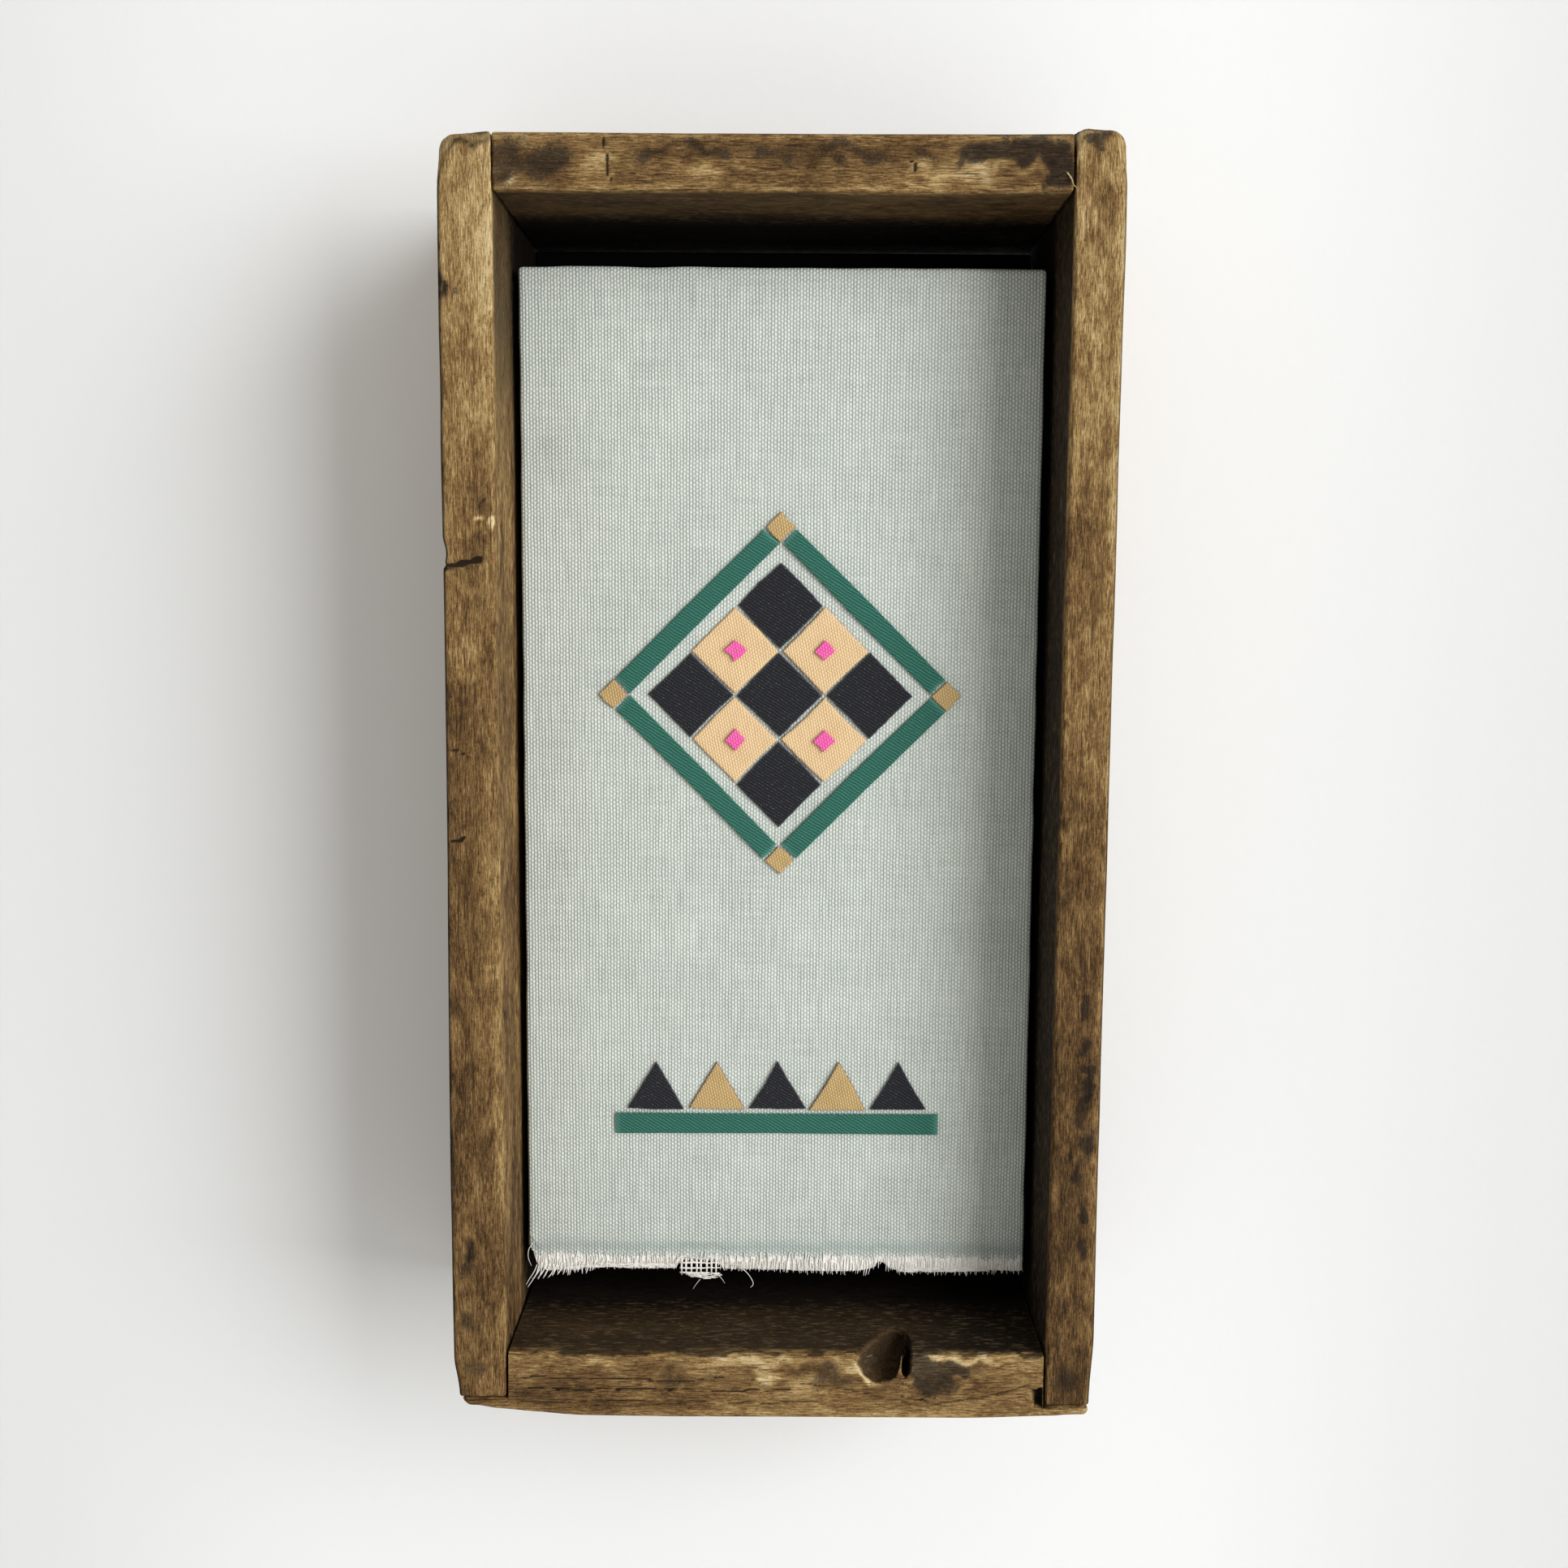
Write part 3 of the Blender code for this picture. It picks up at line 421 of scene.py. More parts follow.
def plywood_finish():
    """Plywood with its face grain upright, painted black as shade on its front ply and on what is before it.
    """
    tree = Tree("aged_plywood")
    figure = tree.noise((5 * MM, 3 * MM, 60 * MM), 4, 0.6, 1.6)
    fibres = tree.noise((0.5 * MM, 0.5 * MM, 9 * MM), 3, 0.6)
    spots = tree.noise([14 * MM] * 3, 3, 0.6)
    value = tree.sum((figure, 0.6), (fibres, 0.35), (spots, 0.3), -0.15)
    colour = tree.mix(tree.between(value, 0.25, 0.75), PLY_DARK, PLY_PALE)
    y = tree.axes()[1]
    plies = tree.math("ABSOLUTE", tree.math("SINE", tree.times(y, math.pi / PLY_THICK)))
    facing = tree.nodes.new("ShaderNodeNewGeometry")
    sideways = tree.math("ABSOLUTE", tree.axes(facing.outputs["True Normal"])[1])
    edge = tree.times(tree.between(sideways, 0.2, 0.6, 1, 0), tree.between(plies, 0.3, 0.5, 0.45, 0))
    colour = tree.mix(edge, colour, PLY_EDGE)
    # Painted shade: black on the front ply and before it, where the box is dark behind the panel.
    colour = tree.mix(tree.between(y, *PLY_FRONT_YS, 1, 0), colour, PLY_SHADE_BLACK)
    tree.bump(tree.sum(fibres, figure), 0.2 * MM, 0.5)
    return tree.finish(colour, 0.82, Specular_IOR_Level=0.1)


PINE_STOPS = [(0.3, (0.62, 0.45, 0.25)), (0.62, (0.5, 0.31, 0.14)), (0.8, (0.36, 0.2, 0.08))]


def pine_finish():
    tree = Tree("planed_pine")
    rings = tree.noise((2.2 * MM, 2.2 * MM, 70 * MM), 3, 0.5, 1.0)
    fibres = tree.noise((0.4 * MM, 0.4 * MM, 8 * MM), 3, 0.6)
    value = tree.sum((rings, 0.8), (fibres, 0.3), -0.05)
    colour = tree.ramp(value, PINE_STOPS)
    tree.bump(tree.sum(rings, fibres), 0.15 * MM, 0.5)
    return tree.finish(colour, 0.7, Specular_IOR_Level=0.35)


def iron_finish():
    """Old wire nails: dark iron with rust."""
    tree = Tree("rusty_iron")
    rust = tree.noise([0.9 * MM] * 3, 4, 0.65)
    pits = tree.noise([0.25 * MM] * 3, 2, 0.6)
    share = tree.between(rust, 0.4, 0.62)
    colour = tree.mix(share, (0.05, 0.045, 0.042), (0.16, 0.06, 0.025))
    tree.put(tree.shader.inputs["Metallic"], tree.between(rust, 0.4, 0.62, 0.85, 0.1))
    tree.bump(tree.sum(rust, pits), 0.12 * MM, 0.8)
    return tree.finish(colour, tree.between(rust, 0.4, 0.62, 0.45, 0.85))


def zinc_finish():
    """Zinc plate with a dull spangle and fine scratches."""
    tree = Tree("dull_zinc")
    spangle = tree.noise([1.6 * MM] * 3, 3, 0.6)
    scratches = tree.noise((6 * MM, 6 * MM, 0.12 * MM), 2, 0.5)
    colour = tree.mix(tree.between(spangle, 0.35, 0.7), (0.42, 0.42, 0.41), (0.66, 0.65, 0.62))
    tree.bump(tree.sum(scratches, spangle), 0.03 * MM, 0.5)
    return tree.finish(colour, tree.between(spangle, 0.3, 0.7, 0.32, 0.52), Metallic=1.0)


# Boards

EDGE_LINES = [0, 0.3 * MM, 0.7 * MM, 1.2 * MM, 1.8 * MM, 2.6 * MM, 3.5 * MM]


def stations(low, high, step, extra=()):
    """Grid lines along one axis: close together near both ends, and a step apart between."""
    near = EDGE_LINES[-1]
    count = max(1, round((high - low - 2 * near) / step))
    middle = [low + near + (high - low - 2 * near) * i / count for i in range(1, count)]
    ends = [low + line for line in EDGE_LINES] + [high - line for line in EDGE_LINES]
    return sorted([*ends, *middle, *extra])


def depth_stations():
    """Grid lines from the front rim to the wall, closest where the front view sees them."""
    front = list(np.arange(4.3, 10, 0.8) * MM + FRONT_Y)
    recess = list(np.arange(11, 30, 1.3) * MM + FRONT_Y)
    rest = list(np.arange(31.5, 71, 2.0) * MM + FRONT_Y)
    ends = [FRONT_Y + line for line in EDGE_LINES] + [-line for line in EDGE_LINES]
    return sorted([*ends, *front, *recess, *rest])


def block_surface(xs, ys, zs, sides=((0, 0), (0, 1), (1, 0), (1, 1), (2, 0), (2, 1))):
    """Corners and quads of a block's surface, with its normals outwards.

    A side is (axis, end), with end 0 for the low side and 1 for the high one.
    """
    lines = (xs, ys, zs)
    index, corners, quads = {}, [], []

    def corner(key):
        if key not in index:
            index[key] = len(corners)
            corners.append([lines[axis][key[axis]] for axis in range(3)])
        return index[key]

    for axis, end in sides:
        a, b = [other for other in range(3) if other != axis]
        place = (len(lines[axis]) - 1) * end
        turned = (end == 0) != (axis == 1)
        for u in range(len(lines[a]) - 1):
            for v in range(len(lines[b]) - 1):
                ring = []
                for du, dv in ((0, 0), (1, 0), (1, 1), (0, 1)):
                    key = [0, 0, 0]
                    key[axis], key[a], key[b] = place, u + du, v + dv
                    ring.append(corner(tuple(key)))
                quads.append(ring[::-1] if turned else ring)
    return np.array(corners), quads


class Board:
    """A worn board, in the same form as its solid in the part's source."""

    def __init__(self, low, high, grain, radius, low_wear, high_wear, soft_corners=(), dents=()):
        self.low = np.array(low)
        self.high = np.array(high)
        self.grain = grain
        self.radius = radius
        self.wear = np.array([low_wear, high_wear])
        self.soft_corners = soft_corners
        self.dents = dents

    def wear_depth(self, places, outs):
        scale = 1 / np.array(along_grain(self.grain, 14 * MM, 48 * MM))
        waves = np.array([0.5 + 0.5 * noise.noise(Vector(place)) for place in places * scale])
        most = np.where(outs < 0, self.wear[0], self.wear[1])
        return (np.abs(outs) * most).sum(1) * waves

    def shape(self, places):
        """Where each corner of the plain block goes, and which way the surface faces there."""
        radius = np.full(len(places), self.radius)
        for corner, soft, reach in self.soft_corners:
            near = smooth_step(CORNER_HOLD * (1 - np.linalg.norm((places - corner) / reach, axis=1)))
            radius = np.maximum(radius, self.radius + (soft - self.radius) * near)
        self.rounded = radius
        radius = radius[:, None]
        core = np.minimum(np.maximum(places, self.low + radius), self.high - radius)
        outs = places - core
        outs /= np.linalg.norm(outs, axis=1)[:, None]
        worn = core + outs * (radius - self.wear_depth(places, outs)[:, None])
        for centre, reach, push in self.dents:
            off = (places - centre) / reach
            share = np.maximum(0, 1 - (off**2).sum(1)) ** 2
            worn += np.array(push) * share[:, None]
        return worn, outs


# How far back from the front rim a crack goes, in mm
CRACK_REACH = 4.0


class Surface:
    """A board's fine surface while its relief and its masks are being worked out."""

    def __init__(self, board, places, outs, sharp=1.0):
        self.board = board
        self.places = places
        self.outs = outs
        self.depth = np.zeros(len(places))
        self.masks = {name: np.zeros(len(places)) for name in ("pale", "stain", "soot", "crack")}
        self.front = smooth_step((FRONT_Y + 4 * MM - places[:, 1]) / (3 * MM))
        self.rim = smooth_step((FRONT_Y + 1.5 * MM - places[:, 1]) / (1.1 * MM))
        self.shifted = None
        self.sharp = sharp

    def noise(self, across, along, seed):
        size = along_grain(self.board.grain, across * MM, along * MM)
        return noise_field(self.places, size, seed)

    def add(self, mask, values):
        self.masks[mask] += values

    def fuzzy(self):
        """The places with irregular shifts, which keep stained places from having drawn outlines."""
        if self.shifted is None:
            wide = [noise_field(self.places, [3.6 * MM] * 3, 3 + i) - 0.5 for i in range(3)]
            small = [noise_field(self.places, [1.2 * MM] * 3, 6 + i) - 0.5 for i in range(3)]
            self.shifted = self.places + np.stack(wide, 1) * 4.5 * MM + np.stack(small, 1) * 1.6 * MM
        return self.shifted

    def patch(self, mask, x, z, wide, high, amount=1.0, depth=0.0, slant=0.0, square=2.0):
        """A place on the front rim that fades outwards, in mm. depth takes the surface in there.

        square is 2 for an ellipse, and more for a squarer place.
        """
        places = self.fuzzy()
        dx, dz = places[:, 0] / MM - x, places[:, 2] / MM - z
        turn = math.radians(slant)
        u = (dx * math.cos(turn) + dz * math.sin(turn)) / wide
        v = (dz * math.cos(turn) - dx * math.sin(turn)) / high
        off = (np.abs(u) ** square + np.abs(v) ** square) ** (1 / square)
        share = np.clip((1.35 - off) / 0.9, 0, 1) * self.front
        self.add(mask, share * amount)
        self.depth += smooth_step(share) * depth * MM * np.abs(self.outs[:, 1])

    def line(self, points, width, amount=1.0, depth=0.0):
        """A crack or scratch on the front rim along points (x, z), in mm."""
        places = self.places + (self.fuzzy() - self.places) * 0.16
        x, z = places[:, 0] / MM, places[:, 2] / MM
        strength = 0.55 + 0.9 * noise_field(self.places, [2.4 * MM] * 3, 9)
        nearest = np.full(len(x), 1e3)
        for (ax, az), (bx, bz) in zip(points, points[1:]):
            length = math.hypot(bx - ax, bz - az)
            ux, uz = (bx - ax) / length, (bz - az) / length
            along = np.clip((x - ax) * ux + (z - az) * uz, 0, length)
            off = np.hypot(x - ax - ux * along, z - az - uz * along)
            nearest = np.minimum(nearest, off)
        share = smooth_step(1.5 * strength - nearest / width)
        share *= smooth_step((FRONT_Y / MM + CRACK_REACH - self.places[:, 1] / MM) / 2)
        self.add("crack", share * amount)
        self.depth += share * depth * MM

    def draw(self, *rows):
        """Makes each row's patch, if it starts with a mask's name, or its crack, if with points."""
        for row in rows:
            if isinstance(row[0], str):
                self.patch(*row)
            else:
                self.line(*row)

    def crater(self, centre, radius, depth):
        """A round hollow, such as the one that a nail's head sits in."""
        off = np.linalg.norm(self.places - centre, axis=1) / radius
        share = smooth_step((1.25 - off) / 0.35)
        self.depth += share * depth
        self.add("soot", smooth_step(1.7 - off) * 0.55)

    def relief(self):
        """Grain ridges, slow waves, and chips along the edges."""
        grain = self.noise(0.9, 15, 1) - 0.5
        slow = self.noise(3.6, 42, 2) - 0.5
        self.depth += (0.16 * grain + 0.24 * slow) * MM
        edge = smooth_step((0.995 - np.abs(self.outs).max(1)) / 0.2) * self.sharp
        chips = smooth_step((self.noise(1.7, 5, 5) - 0.58) / 0.2)
        nicks = smooth_step((self.noise(1.1, 2.0, 6) - 0.72) / 0.12)
        self.depth += edge * (0.4 * chips + 0.45 * nicks) * MM
        self.add("crack", edge * nicks * 0.35)

    def finished(self):
        return self.places - self.outs * self.depth[:, None]


def inside_darkness(surface, inner_side):
    """Painted shade on the sides that face into the box, deeper behind the panel's front."""
    depth = (surface.places[:, 1] - FRONT_Y) / MM
    surface.add("soot", inner_side * smooth_step((depth - 22) / 20) * 1.1)


def board_object(name, surface, quads, replaced):
    thing = mesh_object(name, surface.finished(), quads, woods[surface.board.grain])
    for mask, values in surface.masks.items():
        give_mask(thing, mask, np.clip(values, 0, 2))
    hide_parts(replaced)
    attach(thing, "root")
    return thing


def side_surface(board):
    xs = stations(board.low[0], board.high[0], 0.55 * MM)
    zs = stations(board.low[2], board.high[2], 0.8 * MM)
    corners, quads = block_surface(xs, depth_stations(), zs)
    places, outs = board.shape(corners)
    sharp = smooth_step(1.6 - board.rounded / (1.5 * MM))
    return Surface(board, places, outs, sharp), quads, corners[:, 0] / MM


def round_corner(x, y, z, radius, reach):
    return ((x, y, z), radius * MM, (reach * MM,) * 3)


def left_board():
    foot = (LEFT_X, FRONT_Y / 2, BOTTOM_Z + LEFT_LIP + JOINT_GAP)
    top = TOP_Z - LEFT_SET_DOWN
    cut_place = (LEFT_X, FRONT_Y, TOP_Z - 92 * MM)
    bow_place = (LEFT_X, FRONT_Y / 2, INNER_BOTTOM_Z + 39 * MM)
    board = Board(
        low=(LEFT_X, FRONT_Y, foot[2]),
        high=(INNER_LEFT_X, 0, top),
        grain=2,
        radius=0.7 * MM,
        low_wear=(0.2 * MM, 0.3 * MM, 0),
        high_wear=(0.2 * MM, 0, 0.3 * MM),
        soft_corners=[
            round_corner(LEFT_X, FRONT_Y, top, 3.9, 13),
            round_corner(LEFT_X, 0, top, 3.0, 10),
        ],
        dents=[
            (foot, (7 * MM, ALL_DEPTH, 10 * MM), (1.35 * MM, 0, 0)),
            (cut_place, (5 * MM, 30 * MM, 4 * MM), (0.7 * MM, 0, 0)),
            (bow_place, (8 * MM, ALL_DEPTH, 110 * MM), (-0.75 * MM, 0, 0)),
        ],
    )
    surface, quads, plain_x = side_surface(board)
    surface.relief()
    height = surface.places[:, 2] / MM
    surface.add("pale", 0.62 + 0.32 * smooth_step((height + 60) / 110))
    surface.add("pale", -0.1 * smooth_step((-60 - height) / 150))
    across = plain_x - LEFT_X / MM
    surface.add("pale", 0.1 * smooth_step((across - 8.5) / 2) * surface.front)
    surface.add("soot", 0.85 * smooth_step((1.0 - across) / 0.8) * surface.rim)
    surface.add("soot", 0.6 * smooth_step((height - 43.4) / 0.7) * surface.front)
    left_marks(surface)
    # Painted shade on the side that faces into the box: darker towards the top, under the top board, and a
    # little towards the foot.
    inner = smooth_step((across - 10.4) / 1.0) * (1 - surface.front)
    surface.add("soot", (0.06 + 0.72 * smooth_step((height + 45) / 60)) * inner)
    surface.add("soot", 0.14 * smooth_step((-150 - height) / 60) * inner)
    inside_darkness(surface, inner)
    side_holes(surface, LEFT_X)
    return board_object("worn_side_left", surface, quads, "side_board_left")


def left_marks(surface):
    """Cuts, chips and dark knots, from the top down."""
    surface.draw(
        ("soot", -69.5, 41.4, 5.5, 0.9, 0.75, 0, 14),
        ("soot", -69, 43.2, 7.5, 1.5, 0.3),
        ("soot", -74.0, 11.1, 1.6, 2.6, 1.05),
        ("stain", -71.0, 9.5, 2.2, 2.2, 0.55),
        ("soot", -66.2, -35.5, 0.9, 1.6, 1.1, 0.7),
        ("pale", -65.6, -39.2, 1.3, 0.9, 1.0),
        ([(-75, -49.8), (-71, -49.2), (-66.5, -48.3)], 0.5, 1.0, 0.7),
        ("soot", -74.5, -49.5, 2.5, 1.3, 0.8, 0.4),
        ([(-75, -91.5), (-72.5, -91.2), (-70.5, -92.3)], 0.3, 0.8, 0.4),
        ([(-74.6, -112), (-71.5, -111.2)], 0.3, 0.8, 0.4),
        ([(-71.5, -116.5), (-68, -119), (-65, -121)], 0.22, 0.6, 0.2),
        ("soot", -72.5, -152, 1.5, 4, 0.45),
        ("soot", -71.8, -209.5, 2.0, 3.4, 0.95),
        ("stain", -72.0, -213.5, 2.3, 3.0, 0.5),
        ("soot", -72.0, -226.5, 1.7, 2.6, 0.8),
        ("stain", -70.5, -238.5, 2.6, 3.0, 0.45),
    )


def right_board():
    foot = (RIGHT_X, FRONT_Y / 2, BOTTOM_Z + RIGHT_LIP + TOUCH_GAP)
    top = TOP_Z + RIGHT_STAND_UP
    board = Board(
        low=(INNER_RIGHT_X, FRONT_Y, foot[2]),
        high=(RIGHT_X, 0, top),
        grain=2,
        radius=0.7 * MM,
        low_wear=(0.2 * MM, 0.3 * MM, 0),
        high_wear=(0.2 * MM, 0, 0.3 * MM),
        soft_corners=[
            round_corner(RIGHT_X, FRONT_Y, top, 3.6, 13),
            round_corner(INNER_RIGHT_X, FRONT_Y, top, 2.4, 6),
            round_corner(RIGHT_X, 0, top, 3.0, 10),
        ],
        dents=[(foot, (7 * MM, ALL_DEPTH, 18 * MM), (-0.9 * MM, 0, 0))],
    )
    surface, quads, plain_x = side_surface(board)
    surface.relief()
    height = surface.places[:, 2] / MM
    surface.add("pale", 0.6 + 0.24 * smooth_step((height + 80) / 110))
    surface.add("pale", -0.18 * smooth_step((-70 - height) / 150))
    across = RIGHT_X / MM - plain_x
    surface.add("pale", 0.2 * smooth_step((2.6 - across) / 2) * surface.rim)
    surface.add("soot", 0.7 * smooth_step((0.8 - across) / 0.7) * surface.rim)
    surface.add("soot", 0.5 * smooth_step((height - 44.6) / 0.7) * surface.front)
    right_marks(surface)
    # Painted shade on the side that faces into the box, away from the window.
    inner = smooth_step((across - 9.7) / 1.2) * (1 - surface.front)
    surface.add("soot", 0.99 * inner)
    inside_darkness(surface, inner)
    side_holes(surface, RIGHT_X)
    return board_object("worn_side_right", surface, quads, "side_board_right")


def right_marks(surface):
    """Stains and splits, from the top down."""
    surface.draw(
        ("stain", 68.6, 43.4, 2.4, 2.4, 0.95, 0, 0, 6),
        ("soot", 68.8, 43.6, 2.4, 2.2, 0.35, 0, 0, 6),
        ("pale", 70.5, 27, 3.5, 8, -0.25),
        ([(66.5, -22), (67.3, -28), (67.0, -34)], 0.25, 0.5, 0.2),
        ([(70.2, -60), (70.6, -75), (70.2, -92)], 0.22, 0.5, 0.2),
        ("soot", 64.9, -106.5, 0.9, 3.4, 0.7, 0.5),
    )
    for z in (-150, -158, -167, -173, -182, -190, -199, -208):
        surface.patch("stain", 71.2 + math.sin(z) * 0.8, z, 1.5, 2.9, 0.7)
    surface.draw(
        ("stain", 71.8, -183, 2.2, 30, 0.4),
        ("stain", 68.6, -240.5, 4.0, 4.2, 0.6),
        ([(68.3, -236), (68.0, -246)], 0.3, 0.5, 0.2),
    )


def side_holes(surface, outer_x):
    """The hollows round the heads of the nails and pins in an outer side."""
    for y in NAIL_YS:
        for z in (TOP_NAIL_Z, BOTTOM_NAIL_Z):
            surface.crater((outer_x, y, z), 2.7 * MM, 1.6 * MM)
    for z in PIN_ZS:
        surface.crater((outer_x, PIN_Y, z), 1.9 * MM, 1.5 * MM)


def top_board():
    board = Board(
        low=(INNER_LEFT_X + TOUCH_GAP, FRONT_Y + TOP_SET_BACK, INNER_TOP_Z),
        high=(INNER_RIGHT_X - JOINT_GAP, 0, TOP_Z - TOP_SET_DOWN),
        grain=0,
        radius=0.5 * MM,
        low_wear=(0, 0.3 * MM, 0.3 * MM),
        high_wear=(0, 0, 0.3 * MM),
    )
    xs = stations(board.low[0], board.high[0], 0.8 * MM)
    zs = stations(board.low[2], board.high[2], 0.5 * MM)
    corners, quads = block_surface(xs, depth_stations(), zs)
    places, outs = board.shape(corners)
    middle = (board.low + board.high) / 2
    tilt = np.array(Matrix.Rotation(math.radians(TOP_TILT), 3, "Y"))
    surface = Surface(board, middle + (places - middle) @ tilt.T, outs)
    surface.relief()
    height = (surface.places[:, 2] - INNER_TOP_Z) / MM
    surface.add("pale", 0.56 + 0.16 * smooth_step((2.2 - height) / 1.6) * surface.front)
    surface.add("pale", 0.2 * smooth_step((height - 10.2) / 1.5) * surface.front)
    surface.add("soot", 0.5 * smooth_step((height - 12.0) / 0.5) * surface.front)
    top_marks(surface)
    # Painted shade on the underside, which faces down into the box.
    under = smooth_step((0.9 - height) / 0.9) * (1 - surface.front)
    surface.add("soot", 0.68 * under)
    inside_darkness(surface, under)
    return board_object("worn_top", surface, quads, "top_board")


def top_marks(surface):
    """Blots of old blue-black stain with no form, bare places, and a few splits."""
    surface.draw(
        ("stain", -61.0, 38.0, 4.0, 5.0, 0.62),
        ("stain", -56.5, 39.5, 3.4, 3.0, 0.4),
        ("stain", -50.8, 38.0, 4.6, 5.6, 0.72),
        ("stain", -28.5, 39.8, 5.6, 2.4, 0.68),
        ("stain", -15.5, 40.6, 7.2, 1.9, 0.66),
        ("stain", -2.5, 39.6, 5.4, 2.6, 0.56),
        ("stain", 10.5, 40.4, 7.0, 2.2, 0.6),
        ("stain", 20.5, 38.8, 4.4, 2.6, 0.62),
        ("stain", 29.5, 40.2, 4.6, 2.0, 0.6),
        ("stain", 41.0, 40.6, 4.5, 3.2, 0.95),
        ("stain", 51.0, 41.0, 9.5, 3.2, 1.0),
        ("stain", 60.5, 38.5, 3.4, 6.0, 0.8),
        ("stain", 57.5, 35.2, 5.5, 1.3, 0.5, 0, 10),
        ("soot", 50, 39.5, 15, 6, 0.3),
        ("soot", -22, 41.2, 16, 2.0, 0.14),
        ("pale", 53.0, 36.6, 4.2, 1.7, 0.35),
        ("pale", 43.0, 35.8, 4.6, 2.2, 0.45),
        ("pale", 32.0, 35.6, 6, 2.4, 0.35),
        ("pale", -17.0, 35.6, 7, 2.2, 0.3),
        ("pale", -40, 36.5, 5, 4, 0.25),
        ("pale", -59.0, 35.2, 1.2, 0.7, 0.6),
        ([(-39.2, 43.2), (-38.4, 39.5), (-38.0, 36), (-36.6, 32.4)], 0.24, 0.8, 0.4),
        ([(27.5, 38.5), (28.8, 37.6), (29.0, 36.2)], 0.3, 0.9, 0.4),
        ([(10, 36.6), (19.5, 35.8)], 0.2, 0.5, 0.2),
        ([(47.5, 35), (56, 34.6), (61, 36)], 0.25, 0.6, 0.2),
        ("soot", 57.2, 33.4, 0.8, 0.9, 0.8, 0.6),
    )


LEFT_SHOULDER_X = INNER_LEFT_X + JOINT_GAP
RIGHT_SHOULDER_X = INNER_RIGHT_X - JOINT_GAP


def bottom_form(thick):
    """The bottom board's form where it is this thick: its middle, or one of its lips."""
    left_end = (LEFT_X, FRONT_Y / 2, BOTTOM_Z)
    right_end = (RIGHT_X, FRONT_Y / 2, BOTTOM_Z)
    return Board(
        low=(LEFT_X, FRONT_Y, BOTTOM_Z),
        high=(RIGHT_X, 0, BOTTOM_Z + thick),
        grain=0,
        radius=0.7 * MM,
        low_wear=(0.2 * MM, 0.3 * MM, 0),
        high_wear=(0.2 * MM, 0, 0.3 * MM),
        soft_corners=[
            (left_end, 1.8 * MM, (10 * MM, 10 * ALL_DEPTH, 40 * MM)),
            (right_end, 1.4 * MM, (10 * MM, 10 * ALL_DEPTH, 40 * MM)),
        ],
        dents=[
            (left_end, (10 * MM, ALL_DEPTH, 9 * MM), (1.8 * MM, 0, 0)),
            (left_end, (32 * MM, ALL_DEPTH, 5 * MM), (0, 0, 2.4 * MM)),
            (right_end, (10 * MM, ALL_DEPTH, 9 * MM), (-0.8 * MM, 0, 0)),
            (right_end, (34 * MM, ALL_DEPTH, 3.6 * MM), (0, 0, 0.8 * MM)),
        ],
    )


def stepped(corners):
    """The bottom board's middle and its two lips, each from its own form."""
    places, outs = np.zeros_like(corners), np.zeros_like(corners)
    left, right = corners[:, 0] < LEFT_SHOULDER_X, corners[:, 0] > RIGHT_SHOULDER_X
    for chosen, thick in ((left, LEFT_LIP), (right, RIGHT_LIP), (~left & ~right, BOTTOM_THICK)):
        part = corners[chosen].copy()
        part[:, 2] = BOTTOM_Z + (part[:, 2] - BOTTOM_Z) * thick / BOTTOM_THICK
        places[chosen], outs[chosen] = bottom_form(thick).shape(part)
    return places, outs


# The cleft is narrower here than in the part, and its lower end leans to the left
CLEFT_SHAPE = (CLEFT_SIZE[0] * 0.65, CLEFT_SIZE[1], CLEFT_SIZE[2])
CLEFT_STEEP = 2.2
CLEFT_LEAN = -0.25


def cleft_cut(places):
    """Takes the cleft out of the inner rim edge, and says how far each place is in it."""
    off = (places - (CLEFT_X, FRONT_Y, INNER_BOTTOM_Z)) / CLEFT_SHAPE
    off[:, 0] += CLEFT_LEAN * off[:, 2]
    across = np.abs(off[:, 0])
    room = 1 - 0.25 * across
    in_front = (across < 1) & (off[:, 1] < 0.12) & (off[:, 2] < 0.05) & (-off[:, 2] < room)
    on_top = (across < 1) & ~in_front & (off[:, 2] > -0.12) & (off[:, 1] < room)
    away = np.clip(np.where(in_front, -off[:, 2], off[:, 1]) / room, 0, 1)
    angle = (1 + np.where(in_front, away, -away)) * math.pi / 4
    moved = off.copy()
    moved[:, 1] = np.cos(angle) * room
    moved[:, 2] = -np.sin(angle) * room
    share = smooth_step((1 - across) * CLEFT_STEEP) * smooth_step((1 - away) * CLEFT_STEEP * 2)
    share = share * (in_front | on_top)
    moved = off + (moved - off) * share[:, None]
    moved[:, 0] -= CLEFT_LEAN * off[:, 2]
    return moved * CLEFT_SHAPE + (CLEFT_X, FRONT_Y, INNER_BOTTOM_Z), share


